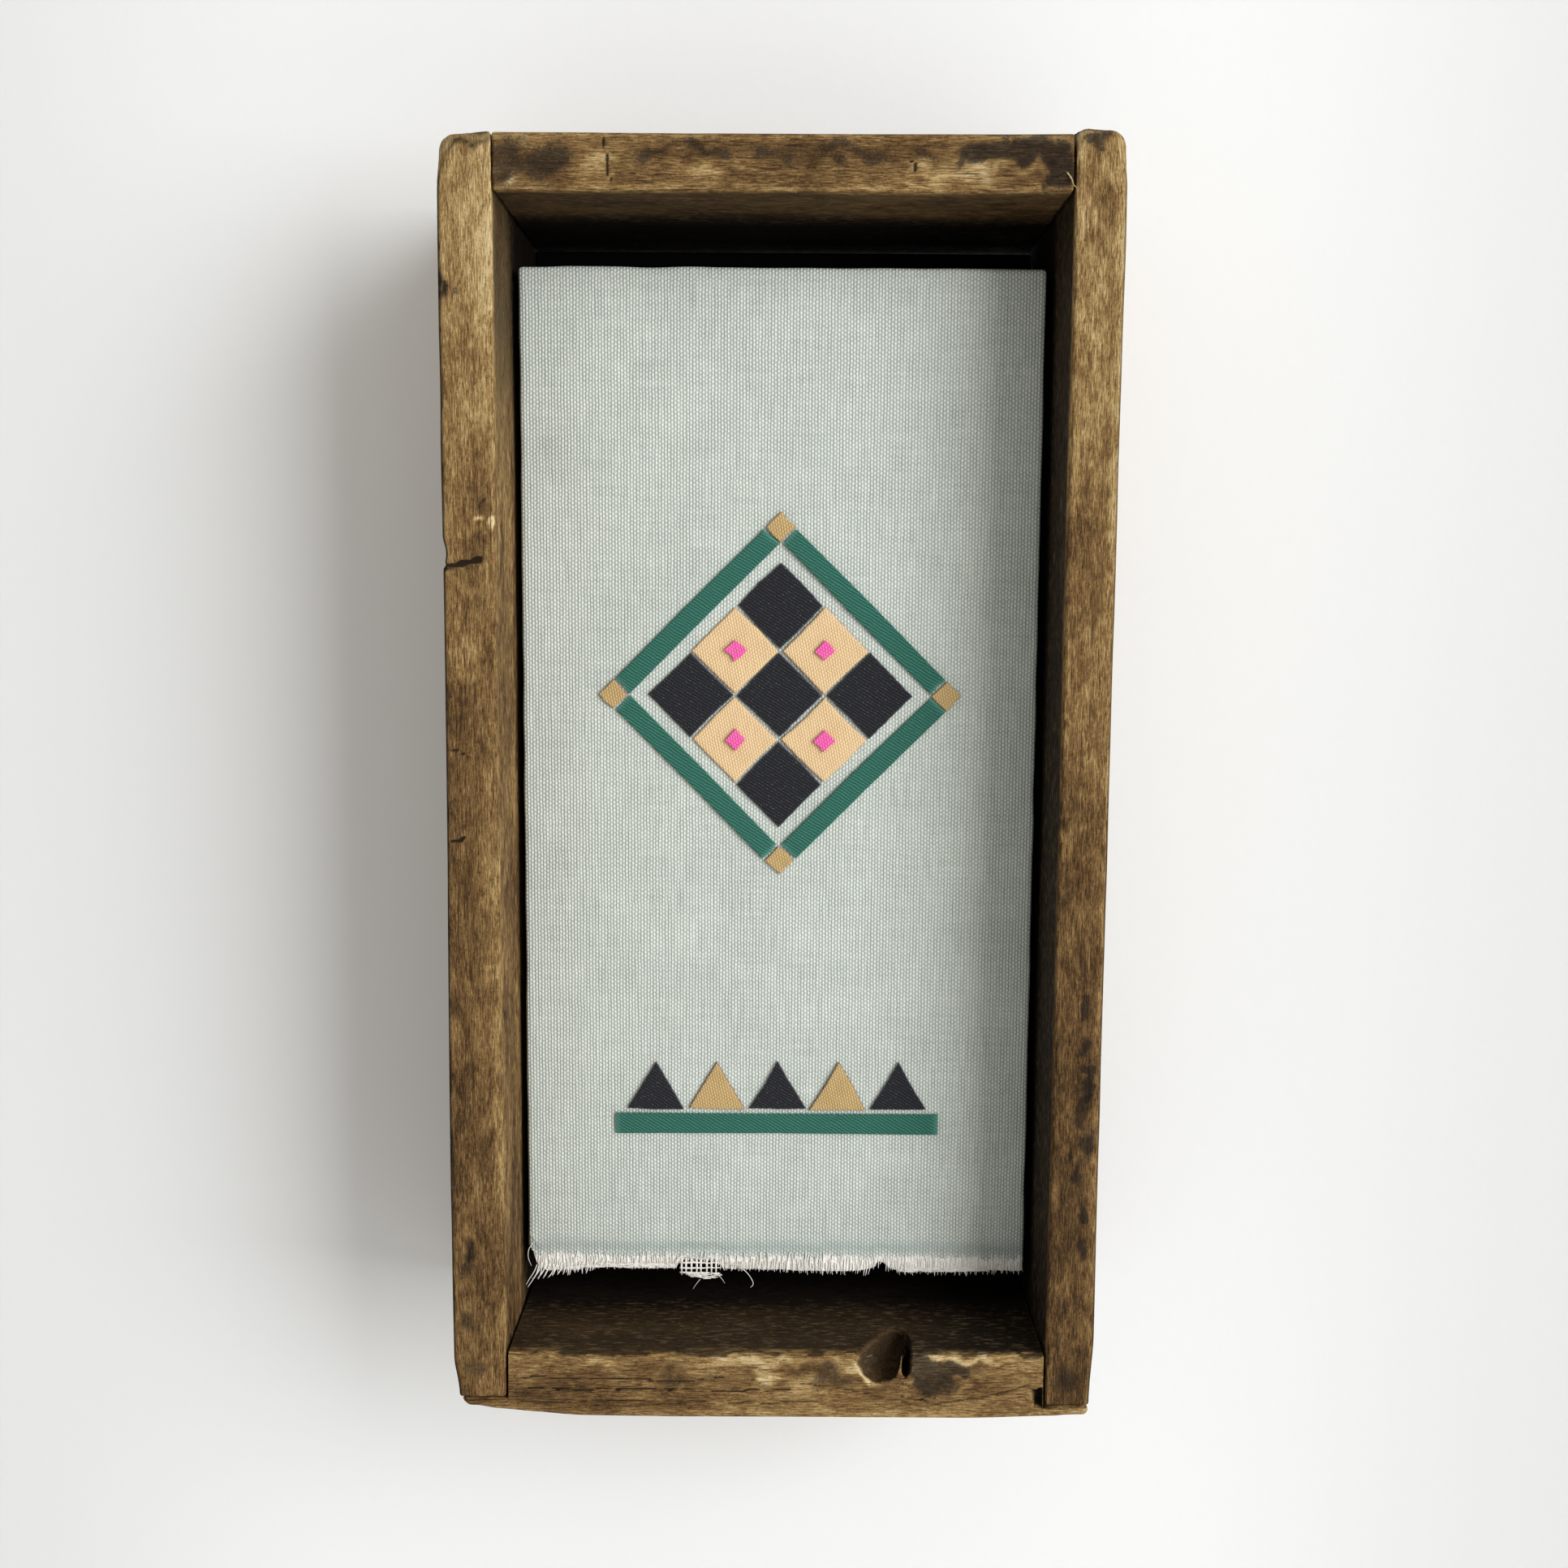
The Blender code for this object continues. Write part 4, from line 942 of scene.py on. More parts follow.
def knot_bowl(places):
    """Takes the knot's uneven bowl out of the inner rim edge. It leans to the right as it goes back."""
    off = places - (KNOT_X, FRONT_Y, INNER_BOTTOM_Z)
    off[:, 0] -= KNOT_LEAN * off[:, 1]
    across = np.stack([off[:, 0], off[:, 0] * 0, off[:, 1] + off[:, 2]], 1)
    size = np.array(KNOT_SIZE) * (0.88 + 0.24 * noise_field(across, [2.2 * MM] * 3, 41))[:, None]
    way = np.array((0, 1, -1)) / math.sqrt(2)
    a = ((way / size) ** 2).sum(1)
    b = (off * way / size**2).sum(1)
    c = ((off / size) ** 2).sum(1) - 1
    inside = (c < 0) & (off[:, 2] > -KNOT_SIZE[2] * 1.1)
    far = (np.sqrt(np.clip(b**2 - a * c, 0, None)) - b) / a
    off += way * (far * inside)[:, None]
    off[:, 0] += KNOT_LEAN * off[:, 1]
    return off + (KNOT_X, FRONT_Y, INNER_BOTTOM_Z), smooth_step(-6 * c) * inside, np.exp(-((c / 0.16) ** 2))


def bottom_board():
    either_side = (-CUT_STEP / 2, CUT_STEP / 2)
    shoulders = [x + d for x in (LEFT_SHOULDER_X, RIGHT_SHOULDER_X) for d in either_side]
    at_cleft = CLEFT_X + np.linspace(-1.6, 1.6, 17) * MM
    at_knot = KNOT_X + np.linspace(-6.5, 5, 24) * MM
    xs = stations(LEFT_X, RIGHT_X, 0.65 * MM, [*shoulders, *at_cleft, *at_knot])
    zs = stations(BOTTOM_Z, INNER_BOTTOM_Z, 0.5 * MM)
    corners, quads = block_surface(xs, depth_stations(), zs)
    places, outs = stepped(corners)
    surface = Surface(bottom_form(BOTTOM_THICK), places, outs)
    surface.relief()
    x, height = places[:, 0] / MM, (places[:, 2] - BOTTOM_Z) / MM
    surface.add("pale", 0.6 + 0.14 * smooth_step((height - 13.4) / 1.4) * surface.front)
    surface.add("pale", 0.14 * smooth_step((3.2 - height) / 2) * surface.front)
    surface.add("pale", (0.2 * smooth_step((x + 50) / 40) - 0.08) * surface.front)
    bottom_marks(surface)
    bites = 2.4 * (surface.noise(1.1, 4.5, 51) - 0.5) + 1.6 * (surface.noise(0.5, 1.3, 52) - 0.5)
    surface.add("soot", 0.85 * smooth_step((height + bites - 15.1) / 0.7) * surface.front)
    # Painted shade on the upper face inside the box, darker towards the right.
    upper = smooth_step((height - 15.1) / 0.4) * (1 - surface.front) * (np.abs(x) < 63.5)
    surface.add("soot", (0.84 + 0.28 * smooth_step((x - 20) / 40)) * upper)
    inside_darkness(surface, upper)
    surface.places = surface.finished()
    surface.depth[:] = 0
    surface.places, knot, lip = knot_bowl(surface.places)
    surface.places, cleft = cleft_cut(surface.places)
    for name in ("stain", "soot", "pale"):
        surface.masks[name] *= 1 - knot
    # Inside the knot's bowl: painted light on its left, a painted highlight along its lower-left lip, and
    # painted shade towards its right and in the cleft.
    surface.add("pale", (0.62 - 0.3 * smooth_step((x - KNOT_X / MM + 2) / 6)) * knot)
    surface.add("pale", 0.7 * lip * smooth_step((KNOT_X / MM - x + 1) / 3) * smooth_step((14.5 - height) / 2))
    surface.add("stain", 0.6 * knot)
    surface.add("soot", (0.04 + 0.45 * smooth_step((x - KNOT_X / MM - 1) / 6)) * knot + 1.3 * cleft)
    return board_object("worn_bottom", surface, quads, "bottom_board")


def bottom_marks(surface):
    """Splits along the grain, the lines that bend round the knot, stains and bare places."""
    surface.draw(
        ([(-62, -239.6), (-50, -240.2), (-38, -240.0), (-24, -240.6), (-12, -239.8)], 0.2, 0.7, 0.3),
        ([(-58, -242.6), (-46, -242.9), (-30, -242.4), (-14, -243.2), (4, -242.6)], 0.22, 0.8, 0.3),
        ([(-60, -245.6), (-46, -245.9), (-30, -245.2), (-10, -246.0), (10, -245.6)], 0.2, 0.6, 0.25),
        ([(-36, -237.4), (-24, -237.9), (-8, -237.2), (4, -238.0), (14, -237.5)], 0.2, 0.55, 0.22),
        ([(-6, -240.4), (8, -240.9), (18, -242.8), (26, -244.8), (36, -245.4)], 0.2, 0.6, 0.25),
        ([(30, -243.9), (38, -246.2), (50, -244.0), (62, -240.8)], 0.22, 0.6, 0.25),
        ([(36, -247.0), (48, -246.2), (60, -243.8)], 0.2, 0.5, 0.2),
        ([(40, -242.0), (50, -239.8), (61, -238.4)], 0.18, 0.4, 0.2),
        ([(29.5, -240.0), (33.5, -242.6), (38.5, -245.0)], 0.16, 0.6, 0.15),
        ([(28.0, -240.6), (32.0, -243.2), (36.5, -245.2)], 0.16, 0.5, 0.15),
        ("stain", 37.8, -240.4, 5.0, 4.8, 0.95),
        ("stain", 45.0, -237.4, 3.9, 2.0, 0.85),
        ("stain", 34.2, -237.0, 1.8, 4.0, 0.8),
        ("stain", 14.6, -239.4, 5.4, 3.6, 0.62),
        ("stain", 6.0, -237.6, 3.4, 1.5, 0.5),
        ("stain", 25.5, -243.4, 6.0, 1.7, 0.45),
        ("stain", -24.5, -239.2, 6, 3.0, 0.55),
        ("stain", -14.0, -241.0, 7, 1.8, 0.45),
        ("stain", -2.5, -241.2, 5, 1.6, 0.45),
        ("soot", -54, -243, 9, 5.0, 0.2),
        ("pale", 43.5, -235.1, 9, 1.0, 0.6),
        ("pale", -4, -236.2, 12, 1.4, 0.4),
        ("pale", -1, -239.5, 2.6, 1.8, 0.7),
        ("pale", -42, -236.8, 9, 1.6, 0.25),
        ("pale", 20.0, -239.4, 0.9, 3.4, 0.5, 0, 28),
        ("soot", 62.6, -244.3, 1.0, 1.6, 1.9, 2.0, 0, 6),
    )


# The linen

# The raw edge's height above the panel's foot at places along it, in mm
EDGE_LINE = [
    (-62, 6.2), (-60.6, 5.0), (-59.9, 2.0), (-59.0, 0.2), (-55, -0.3), (-48, 0.4), (-45, 0.7),
    (-34, 0.6), (-25, 0.5), (-24.2, 2.5), (-14.6, 2.5), (-13.8, 0.4), (-8, 0.2), (4, 0.0),
    (12, -0.3), (18, -0.1), (22, 0.2), (24.6, 0.9), (25.6, 2.6), (27.2, 2.3), (28.6, 0.7),
    (31, 0.0), (40, -0.1), (52, 0.2), (62, 0.3),
]


def raw_edge(x):
    """How far above the panel's foot the linen ends at x."""
    places, rises = zip(*EDGE_LINE)
    return np.interp(np.asarray(x) / MM, places, rises) * MM


def linen_relief(corners):
    """The stretched cloth's small waves, its pulled corners and the crease above the raw edge."""
    x, y, z = corners.T
    front = smooth_step((LINEN_Y + 1.5 * MM - y) / (1.2 * MM))
    waves = noise_field(corners, [22 * MM, 50 * MM, 34 * MM], 4) - 0.5
    fine = noise_field(corners, [6 * MM, 50 * MM, 9 * MM], 8) - 0.5
    rise = (0.35 * waves + 0.08 * fine) * MM
    crease = np.exp(-(((z - PANEL_BOTTOM_Z - 6.0 * MM) / (1.3 * MM)) ** 2))
    rise += 0.16 * MM * crease
    moved = corners.copy()
    moved[:, 1] -= np.clip(rise, -0.15 * MM, 0.35 * MM) * front
    ripple = noise_field(corners, [9 * MM, 30 * MM, 9 * MM], 12) - 0.5
    near_top = smooth_step((z - PANEL_TOP_Z + 2 * MM) / (2 * MM))
    near_side = smooth_step((np.abs(x) - 60 * MM) / (1.5 * MM))
    moved[:, 2] += 0.5 * MM * ripple * near_top
    moved[:, 0] += 0.35 * MM * ripple * near_side
    return moved


def linen_cover():
    """The cloth over the panel's face, turned back over its left, right and top sides."""
    xs = stations(PANEL_LEFT_X, PANEL_RIGHT_X, 1.0 * MM)
    at_crease = PANEL_BOTTOM_Z + np.arange(4, 9, 0.5) * MM
    zs = sorted({*stations(PANEL_BOTTOM_Z, PANEL_TOP_Z, 1.3 * MM), *at_crease})
    ys = [LINEN_Y + d * MM for d in (0, 0.3, 0.7, 1.2, 1.8, 3, 6, 10, 14, 18, 22, 26, 30)]
    corners, quads = block_surface(xs, ys, zs, ((1, 0), (0, 0), (0, 1), (2, 1)))
    radius = 1.1 * MM
    low = np.array((PANEL_LEFT_X + radius, LINEN_Y + radius, -1.0))
    high = np.array((PANEL_RIGHT_X - radius, 1.0, PANEL_TOP_Z - radius))
    core = np.minimum(np.maximum(corners, low), high)
    outs = corners - core
    outs /= np.maximum(np.linalg.norm(outs, axis=1), 1e-9)[:, None]
    shaped = linen_relief(core + outs * radius)
    lower = smooth_step((PANEL_BOTTOM_Z + 12 * MM - corners[:, 2]) / (12 * MM))
    ragged = (noise_field(corners, [1.2 * MM, 9 * MM, 9 * MM], 21) - 0.5) * 0.35 * MM
    shaped[:, 2] += (raw_edge(corners[:, 0]) + ragged) * lower
    thing = mesh_object("linen_sheet", shaped, quads, linen_finish())
    height = (shaped[:, 2] - PANEL_BOTTOM_Z) / MM
    uneven = (noise_field(shaped, [2.2 * MM, 9 * MM, 9 * MM], 23) - 0.5) * 2.2
    give_mask(thing, "raw", smooth_step((4.9 + uneven - height) / 2.8))
    # The crease mask: painted shade in the fold above the raw edge.
    give_mask(thing, "crease", np.exp(-(((height - 6.3 - 0.5 * uneven) / 1.5) ** 2)))
    shell = thing.modifiers.new("thickness", "SOLIDIFY")
    shell.thickness = LINEN_THICK
    shell.offset = -1
    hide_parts("linen_cover")
    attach(thing, "root")
    return thing


HANG_POINTS = 7


class Threads:
    """Round threads, gathered into one mesh."""

    def __init__(self, sides=5):
        self.sides = sides
        self.corners, self.faces = [], []

    def add(self, points, thick, tip=0.4):
        """A thread along points. tip is its end's share of its thickness."""
        points = [Vector(point) for point in points]
        rings = []
        for i, point in enumerate(points):
            along = (points[min(i + 1, len(points) - 1)] - points[max(i - 1, 0)]).normalized()
            side = along.cross(Vector((0.31, 0.93, 0.2))).normalized()
            other = along.cross(side)
            radius = thick / 2 * (1 - (1 - tip) * (i / (len(points) - 1)) ** 2)
            ring = []
            for k in range(self.sides):
                angle = 2 * math.pi * k / self.sides
                ring.append(len(self.corners))
                self.corners.append(point + radius * (math.cos(angle) * side + math.sin(angle) * other))
            rings.append(ring)
        for ring, after in zip(rings, rings[1:]):
            for k in range(self.sides):
                j = (k + 1) % self.sides
                self.faces.append((ring[k], after[k], after[j], ring[j]))
        self.faces.append(tuple(rings[0]))
        self.faces.append(tuple(rings[-1][::-1]))

    def hang(self, draw, x, top_z, length, thick, lean, out):
        """A thread down the linen's front from top_z, which leans to one side and a little outwards."""
        points = []
        bend = draw.uniform(-1, 1) * 0.09
        for t in np.linspace(0, 1, HANG_POINTS):
            off = lean * t * t + bend * length * math.sin(math.pi * t)
            y = LINEN_Y - 0.16 * MM - out * t * t + draw.uniform(-0.03, 0.03) * MM
            points.append((x + off, y, top_z - length * t))
        self.add(points, thick)

    def done(self, name, finish):
        return mesh_object(name, self.corners, self.faces, finish)


def fringe():
    """The bare threads along the lower edge, where the cross threads have come away."""
    draw = random.Random(11)
    threads = Threads()
    x = PANEL_LEFT_X + 2.6 * MM
    while x < PANEL_RIGHT_X - 0.4 * MM:
        where = x / MM
        foot = PANEL_BOTTOM_Z + float(raw_edge(x))
        extra = fringe_length(where, draw)
        top = WEAVE_END_Z + draw.uniform(-2.4, 0.7) * MM
        length = top - foot + extra * MM
        lean = draw.gauss(0, 0.28) * MM
        if where < -57:
            lean += (0.1 * (where + 57) ** 2 - 0.5) * MM
        threads.hang(draw, x, top, length, draw.uniform(0.2, 0.36) * MM, lean, draw.uniform(0, 0.6) * MM)
        x += draw.uniform(0.42, 0.72) * MM
    tassels(threads, draw)
    loose_threads(threads, draw)
    gauze_scrap(threads, draw)
    felted_edge(threads, draw)
    return threads.done("linen_fringe", thread_finish())


# Where a stretch of the fringe ends, in mm, and how far its threads reach past the cloth's end
FRINGE_REACHES = (
    (-44.8, 0.0, 0.9),
    (-23.5, -0.2, 0.45),
    (8, -0.1, 0.5),
    (22, 0.1, 0.9),
    (29, 0.1, 1.9),
    (math.inf, 0.1, 1.1),
)


def fringe_length(where, draw):
    """How far a thread reaches past the cloth's end, in mm, at a place along the edge in mm."""
    least, most = next(reaches for end, *reaches in FRINGE_REACHES if where < end)
    return draw.uniform(least, most)


def loose_threads(threads, draw):
    """Longer threads that have come away at the left corner and beside the scrap."""
    y = LINEN_Y - 0.4 * MM
    for points, thick in (
        ([(-59.6, -222.6), (-60.3, -224.3), (-61.4, -226.0), (-62.3, -227.6)], 0.26),
        ([(-59.2, -223.0), (-59.8, -225.0), (-60.8, -226.6), (-61.9, -228.2)], 0.3),
        ([(-58.4, -223.2), (-58.7, -224.8), (-59.3, -226.3)], 0.24),
        ([(-60.6, -217.0), (-61.6, -218.6), (-61.7, -220.6), (-60.9, -222.6)], 0.2),
        ([(-60.9, -218.6), (-59.8, -219.2), (-59.2, -220.4)], 0.18),
        ([(-9.2, -223.0), (-7.6, -223.8), (-6.2, -225.4), (-5.5, -227.0), (-6.2, -227.9)], 0.22),
        ([(-15.0, -224.6), (-13.6, -225.6), (-12.6, -227.0)], 0.16),
        ([(-18.8, -226.2), (-19.8, -227.4), (-20.6, -228.6)], 0.14),
        ([(-12.4, -222.0), (-9.6, -222.2), (-6.6, -221.9)], 0.24),
        ([(-22.0, -220.4), (-18.0, -220.7), (-15.2, -220.5)], 0.18),
    ):
        path = []
        for i, (x, z) in enumerate(points):
            path.append((x * MM, y - (0.25 * i + draw.uniform(0, 0.2)) * MM, z * MM))
        threads.add(smooth_path(path), thick * MM, 0.5)


def tassels(threads, draw):
    """Thick twisted ends near the left corner, with dark gaps between them."""
    x = -58.4
    while x < -44.6:
        near = smooth_step((-52 - x) / 8)
        foot = float(raw_edge(x * MM)) / MM
        length = 2.6 + 1.5 * float(near) + draw.uniform(-0.3, 0.5)
        lean = (-0.5 - 2.0 * float(near) + draw.uniform(-0.3, 0.3)) * MM
        top = PANEL_BOTTOM_Z + (foot + 1.6) * MM
        threads.hang(draw, x * MM, top, length * MM, draw.uniform(0.42, 0.58) * MM, lean, 0.3 * MM)
        x += draw.uniform(0.8, 1.05)


# Matted stretches of the raw edge: start, end and height in mm, and the number of fibres
FELTED = ((-44.8, -24.6, 1.1, 150), (-58.0, -44.8, 0.6, 40), (30.0, 51.0, 1.0, 110))


def felted_edge(threads, draw):
    """The stretches where the raw edge has rolled up and matted: short fibres that lie along it."""
    for start, end, high, count in FELTED:
        for _ in range(count):
            x = draw.uniform(start, end)
            z = draw.uniform(0, high)
            long = draw.uniform(1.4, 3.6)
            points = []
            for i in range(4):
                along = x + long * i / 3
                lift = z + draw.uniform(-0.14, 0.14)
                height = PANEL_BOTTOM_Z + float(raw_edge(along * MM)) + lift * MM
                points.append((along * MM, LINEN_Y - draw.uniform(0.1, 0.45) * MM, height))
            threads.add(smooth_path(points, 2), draw.uniform(0.14, 0.3) * MM, 0.5)


def smooth_path(points, parts=4):
    """More points, on a smooth curve through the ones given."""
    points = [Vector(point) for point in points]
    ends = [2 * points[0] - points[1], *points, 2 * points[-1] - points[-2]]
    path = []
    for a, b, c, d in zip(ends, ends[1:], ends[2:], ends[3:]):
        for i in range(parts):
            t = i / parts
            square = (2 * a - 5 * b + 4 * c - d) * t * t
            cube = (3 * b - a - 3 * c + d) * t * t * t
            path.append(0.5 * (2 * b + (c - a) * t + square + cube))
    return [*path, points[-1]]


def gauze_scrap(threads, draw):
    """An open scrap of the weave that hangs below the edge, matted at its foot."""
    y = LINEN_Y - 0.35 * MM
    for i in range(8):
        x = (-23.5 + 1.25 * i + draw.uniform(-0.1, 0.1)) * MM
        shift = draw.uniform(-0.15, 0.15) * MM
        low = -225.0 + draw.uniform(-0.4, 0.2)
        threads.add([(x, y, -220.8 * MM), (x + shift, y - 0.2 * MM, -223 * MM), (x, y, low * MM)], 0.6 * MM)
    for z, start, end in ((-221.9, -24.0, -13.6), (-223.2, -23.9, -13.6), (-224.5, -23.9, -14.0)):
        points = []
        for x in np.linspace(start, end, 8):
            points.append((x * MM, y - 0.15 * MM, (z + draw.uniform(-0.1, 0.1)) * MM))
        threads.add(points, 0.5 * MM)
    for _ in range(70):
        x = draw.uniform(-22.6, -15.4)
        deep = 1.5 * math.sin(math.pi * (x + 23.4) / 9.6)
        z = -224.4 - draw.uniform(0, deep)
        end_z = z + draw.uniform(-0.35, 0.25)
        out = draw.uniform(0.1, 0.5) * MM
        long = draw.uniform(0.8, 2.4)
        line = ((x, z), (x + long / 2, (z + end_z) / 2), (x + long, end_z))
        path = smooth_path([(a * MM, y - out, b * MM) for a, b in line], 2)
        threads.add(path, draw.uniform(0.16, 0.3) * MM)


# The cloth pieces

def slot_of(thing):
    return thing.data.materials[0].name.split(".")[0]


def outline_of(node):
    """The front outline of a flat solid, in order round its middle, and its nearest and farthest y."""
    places = np.array([corner.co for corner in nodes[node].data.vertices])
    near, far = places[:, 1].min(), places[:, 1].max()
    front = np.unique(places[places[:, 1] < near + 0.05 * MM][:, [0, 2]].round(6), axis=0)
    off = front - front.mean(0)
    return front[np.argsort(np.arctan2(off[:, 1], off[:, 0]))], near, far


def fine_outline(outline, step):
    """Points a step apart round an outline, with its corners kept."""
    points = []
    for start, end in zip(outline, np.roll(outline, -1, axis=0)):
        count = max(1, round(np.linalg.norm(end - start) / step))
        points += [start + (end - start) * i / count for i in range(count)]
    return np.array(points)


# A cloth piece's rings: the share of its outline's size, and how far down in mm
RINGS = [(1.0, 0.34), (0.985, 0.16), (0.965, 0.05), (0.93, 0.0), (0.8, 0.0), (0.6, 0.0), (0.35, 0.0)]


def cloth_piece(node, finish, seed):
    """A cut piece of cloth: soft at its edges, a little uneven, and frayed by a hair."""
    outline, near, far = outline_of(node)
    edge = fine_outline(outline, 0.5 * MM)
    middle = edge.mean(0)
    fray = noise_field(np.stack([edge[:, 0], edge[:, 0] * 0, edge[:, 1]], 1), [0.8 * MM] * 3, seed) - 0.5
    out = edge - middle
    reach = np.linalg.norm(out, axis=1)
    edge = middle + out * (1 + 0.22 * MM * fray / reach)[:, None]
    count = len(edge)
    corners, cut = [], []
    for share, down in RINGS:
        ring = middle + (edge - middle) * share
        corners.append(np.stack([ring[:, 0], np.full(count, near + down * MM), ring[:, 1]], 1))
        cut.append(np.full(count, smooth_step((share - 0.955) / 0.045)))
    corners.append(np.array([[middle[0], near, middle[1]]]))
    cut.append(np.zeros(1))
    back = np.stack([edge[:, 0], np.full(count, far), edge[:, 1]], 1)
    corners = np.concatenate([*corners, back])
    cut = np.concatenate([*cut, np.ones(count)])
    swell = noise_field(corners, [4 * MM, 40 * MM, 4 * MM], seed + 5) - 0.5
    corners[:-count, 1] += 0.22 * MM * np.clip(swell[:-count], -0.2, 0.5)
    faces = []
    for ring in range(len(RINGS) - 1):
        for i in range(count):
            j = (i + 1) % count
            a, b = ring * count, (ring + 1) * count
            faces.append((a + i, a + j, b + j, b + i))
    centre = len(RINGS) * count
    last = (len(RINGS) - 1) * count
    for i in range(count):
        j = (i + 1) % count
        faces.append((last + i, last + j, centre))
        faces.append((centre + 1 + i, centre + 1 + j, j, i))
    faces.append(tuple(centre + 1 + i for i in range(count))[::-1])
    thing = mesh_object(f"cloth_{node}", corners, faces, finish)
    thing.data.set_sharp_from_angle(angle=math.radians(60))
    give_mask(thing, "cut", cut)
    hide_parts(node)
    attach(thing, "root")
    return thing


# For each cloth its finish, the finish's name and its three colours
CLOTHS = {
    "black_twill": (
        twill_finish, "black_twill_cloth",
        (0.006, 0.006, 0.008), (0.022, 0.023, 0.028), (0.26, 0.27, 0.29),
    ),
    "teal_cotton": (
        twill_finish, "teal_twill_cloth",
        (0.012, 0.07, 0.052), (0.04, 0.17, 0.125), (0.16, 0.42, 0.34),
    ),
    "cream_cotton": (
        ribbed_finish, "cream_ribbed_cloth",
        (0.6, 0.4, 0.2), (0.86, 0.64, 0.38), (0.62, 0.4, 0.22),
    ),
    "tan_cotton": (
        ribbed_finish, "tan_ribbed_cloth",
        (0.36, 0.24, 0.1), (0.62, 0.44, 0.2), (0.1, 0.03, 0.012),
    ),
    "pink_cotton": (
        ribbed_finish, "pink_ribbed_cloth",
        (0.72, 0.06, 0.3), (0.95, 0.2, 0.5), (0.75, 0.08, 0.34),
    ),
}


def cloth_pieces():
    """A finer piece in place of each flat cloth solid, by what its material is called."""
    finishes = {slot: finish(*looks) for slot, (finish, *looks) in CLOTHS.items()}
    made = []
    for seed, name in enumerate(sorted(nodes)):
        slot = slot_of(nodes[name])
        if slot in finishes:
            made.append(cloth_piece(name, finishes[slot], seed))
    return made


# Loose wood fibres

def side_splinters(fibres, draw):
    """Fine splinters along the side boards' upright edges, each edge with its way out and its reach."""
    edges = (
        (LEFT_X + 0.5 * MM, -1, 0.5),
        (RIGHT_X - 0.6 * MM, 1, 0.5),
        (INNER_LEFT_X - 0.3 * MM, 1, 0.25),
        (INNER_RIGHT_X + 0.3 * MM, -1, 0.25),
    )
    for x, out, reach in edges:
        for _ in range(26):
            z = draw.uniform(BOTTOM_Z + 14 * MM, TOP_Z - 16 * MM)
            length = draw.uniform(0.6, 2.2) * MM
            y = FRONT_Y + draw.uniform(0.5, 1.6) * MM
            tip = out * draw.uniform(0.3, 1.2) * reach * MM
            root = (x - out * 0.4 * MM, y, z)
            middle = (x + tip * 0.6, y, z + length / 2)
            end = (x + tip, y - 0.1 * MM, z + length)
            fibres.add(smooth_path([root, middle, end]), draw.uniform(0.05, 0.11) * MM, 0.2)


def rim_splinters(fibres, draw):
    """Fine splinters along the level edges of the top and bottom boards."""
    heights = (INNER_TOP_Z + 0.4 * MM, BOTTOM_Z + 0.9 * MM, INNER_BOTTOM_Z - 0.4 * MM)
    for _ in range(34):
        x = draw.uniform(-60, 60) * MM
        z = draw.choice(heights)
        length = draw.uniform(-1.8, 1.8) * MM
        y = FRONT_Y + draw.uniform(0.6, 1.4) * MM
        down = draw.uniform(-0.5, 0.1) * MM
        root = (x, y + 0.2 * MM, z)
        middle = (x + length / 2, y - 0.2 * MM, z + down)
        end = (x + length, y - 0.4 * MM, z + down * 1.4)
        fibres.add(smooth_path([root, middle, end]), draw.uniform(0.05, 0.1) * MM, 0.2)


def whiskers():
    """Fine splinters that stand off the boards' edges, as old sawn wood has."""
    draw = random.Random(5)
    fibres = Threads(sides=3)
    side_splinters(fibres, draw)
    rim_splinters(fibres, draw)
    big = [(62.0, -74.6, 36.2), (62.9, -75.2, 34.8), (63.4, -75.4, 33.4), (64.4, -75.5, 32.6)]
    fibres.add(smooth_path([(x * MM, y * MM, z * MM) for x, y, z in big]), 0.42 * MM, 0.3)
    tree = Tree("pale_fibres")
    tint = tree.noise([0.8 * MM] * 3, 2, 0.5)
    colour = tree.mix(tree.between(tint, 0.3, 0.7), (0.34, 0.23, 0.11), (0.6, 0.47, 0.27))
    thing = fibres.done("wood_whiskers", tree.finish(colour, 0.8, Specular_IOR_Level=0.3))
    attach(thing, "root")
    return thing


# The solids that stay

def finish_solids():
    finishes = {
        "plywood": plywood_finish(),
        "pine": pine_finish(),
        "iron": iron_finish(),
        "steel": zinc_finish(),
    }
    for thing in nodes.values():
        slot = slot_of(thing)
        if slot in finishes:
            thing.data.materials[0] = finishes[slot]


# Stage, lights and camera

WALL_PAINT = (0.815, 0.82, 0.815)
FLOOR_PAINT = (0.75, 0.74, 0.72)
# Painted shade that darkens the wall towards its sides: two places along X, in metres, and how much darker
# the wall is at each of them
WALL_PAINTED_SHADES = ((0.09, 0.24, 0, 0.17), (-0.24, -0.12, 0.11, 0))


def stage_finish(tree, tone):
    tree.bump(tree.noise([3 * MM] * 3, 3, 0.5), 0.2 * MM, 0.25)
    return tree.finish(tone, 0.9, Specular_IOR_Level=0.1)


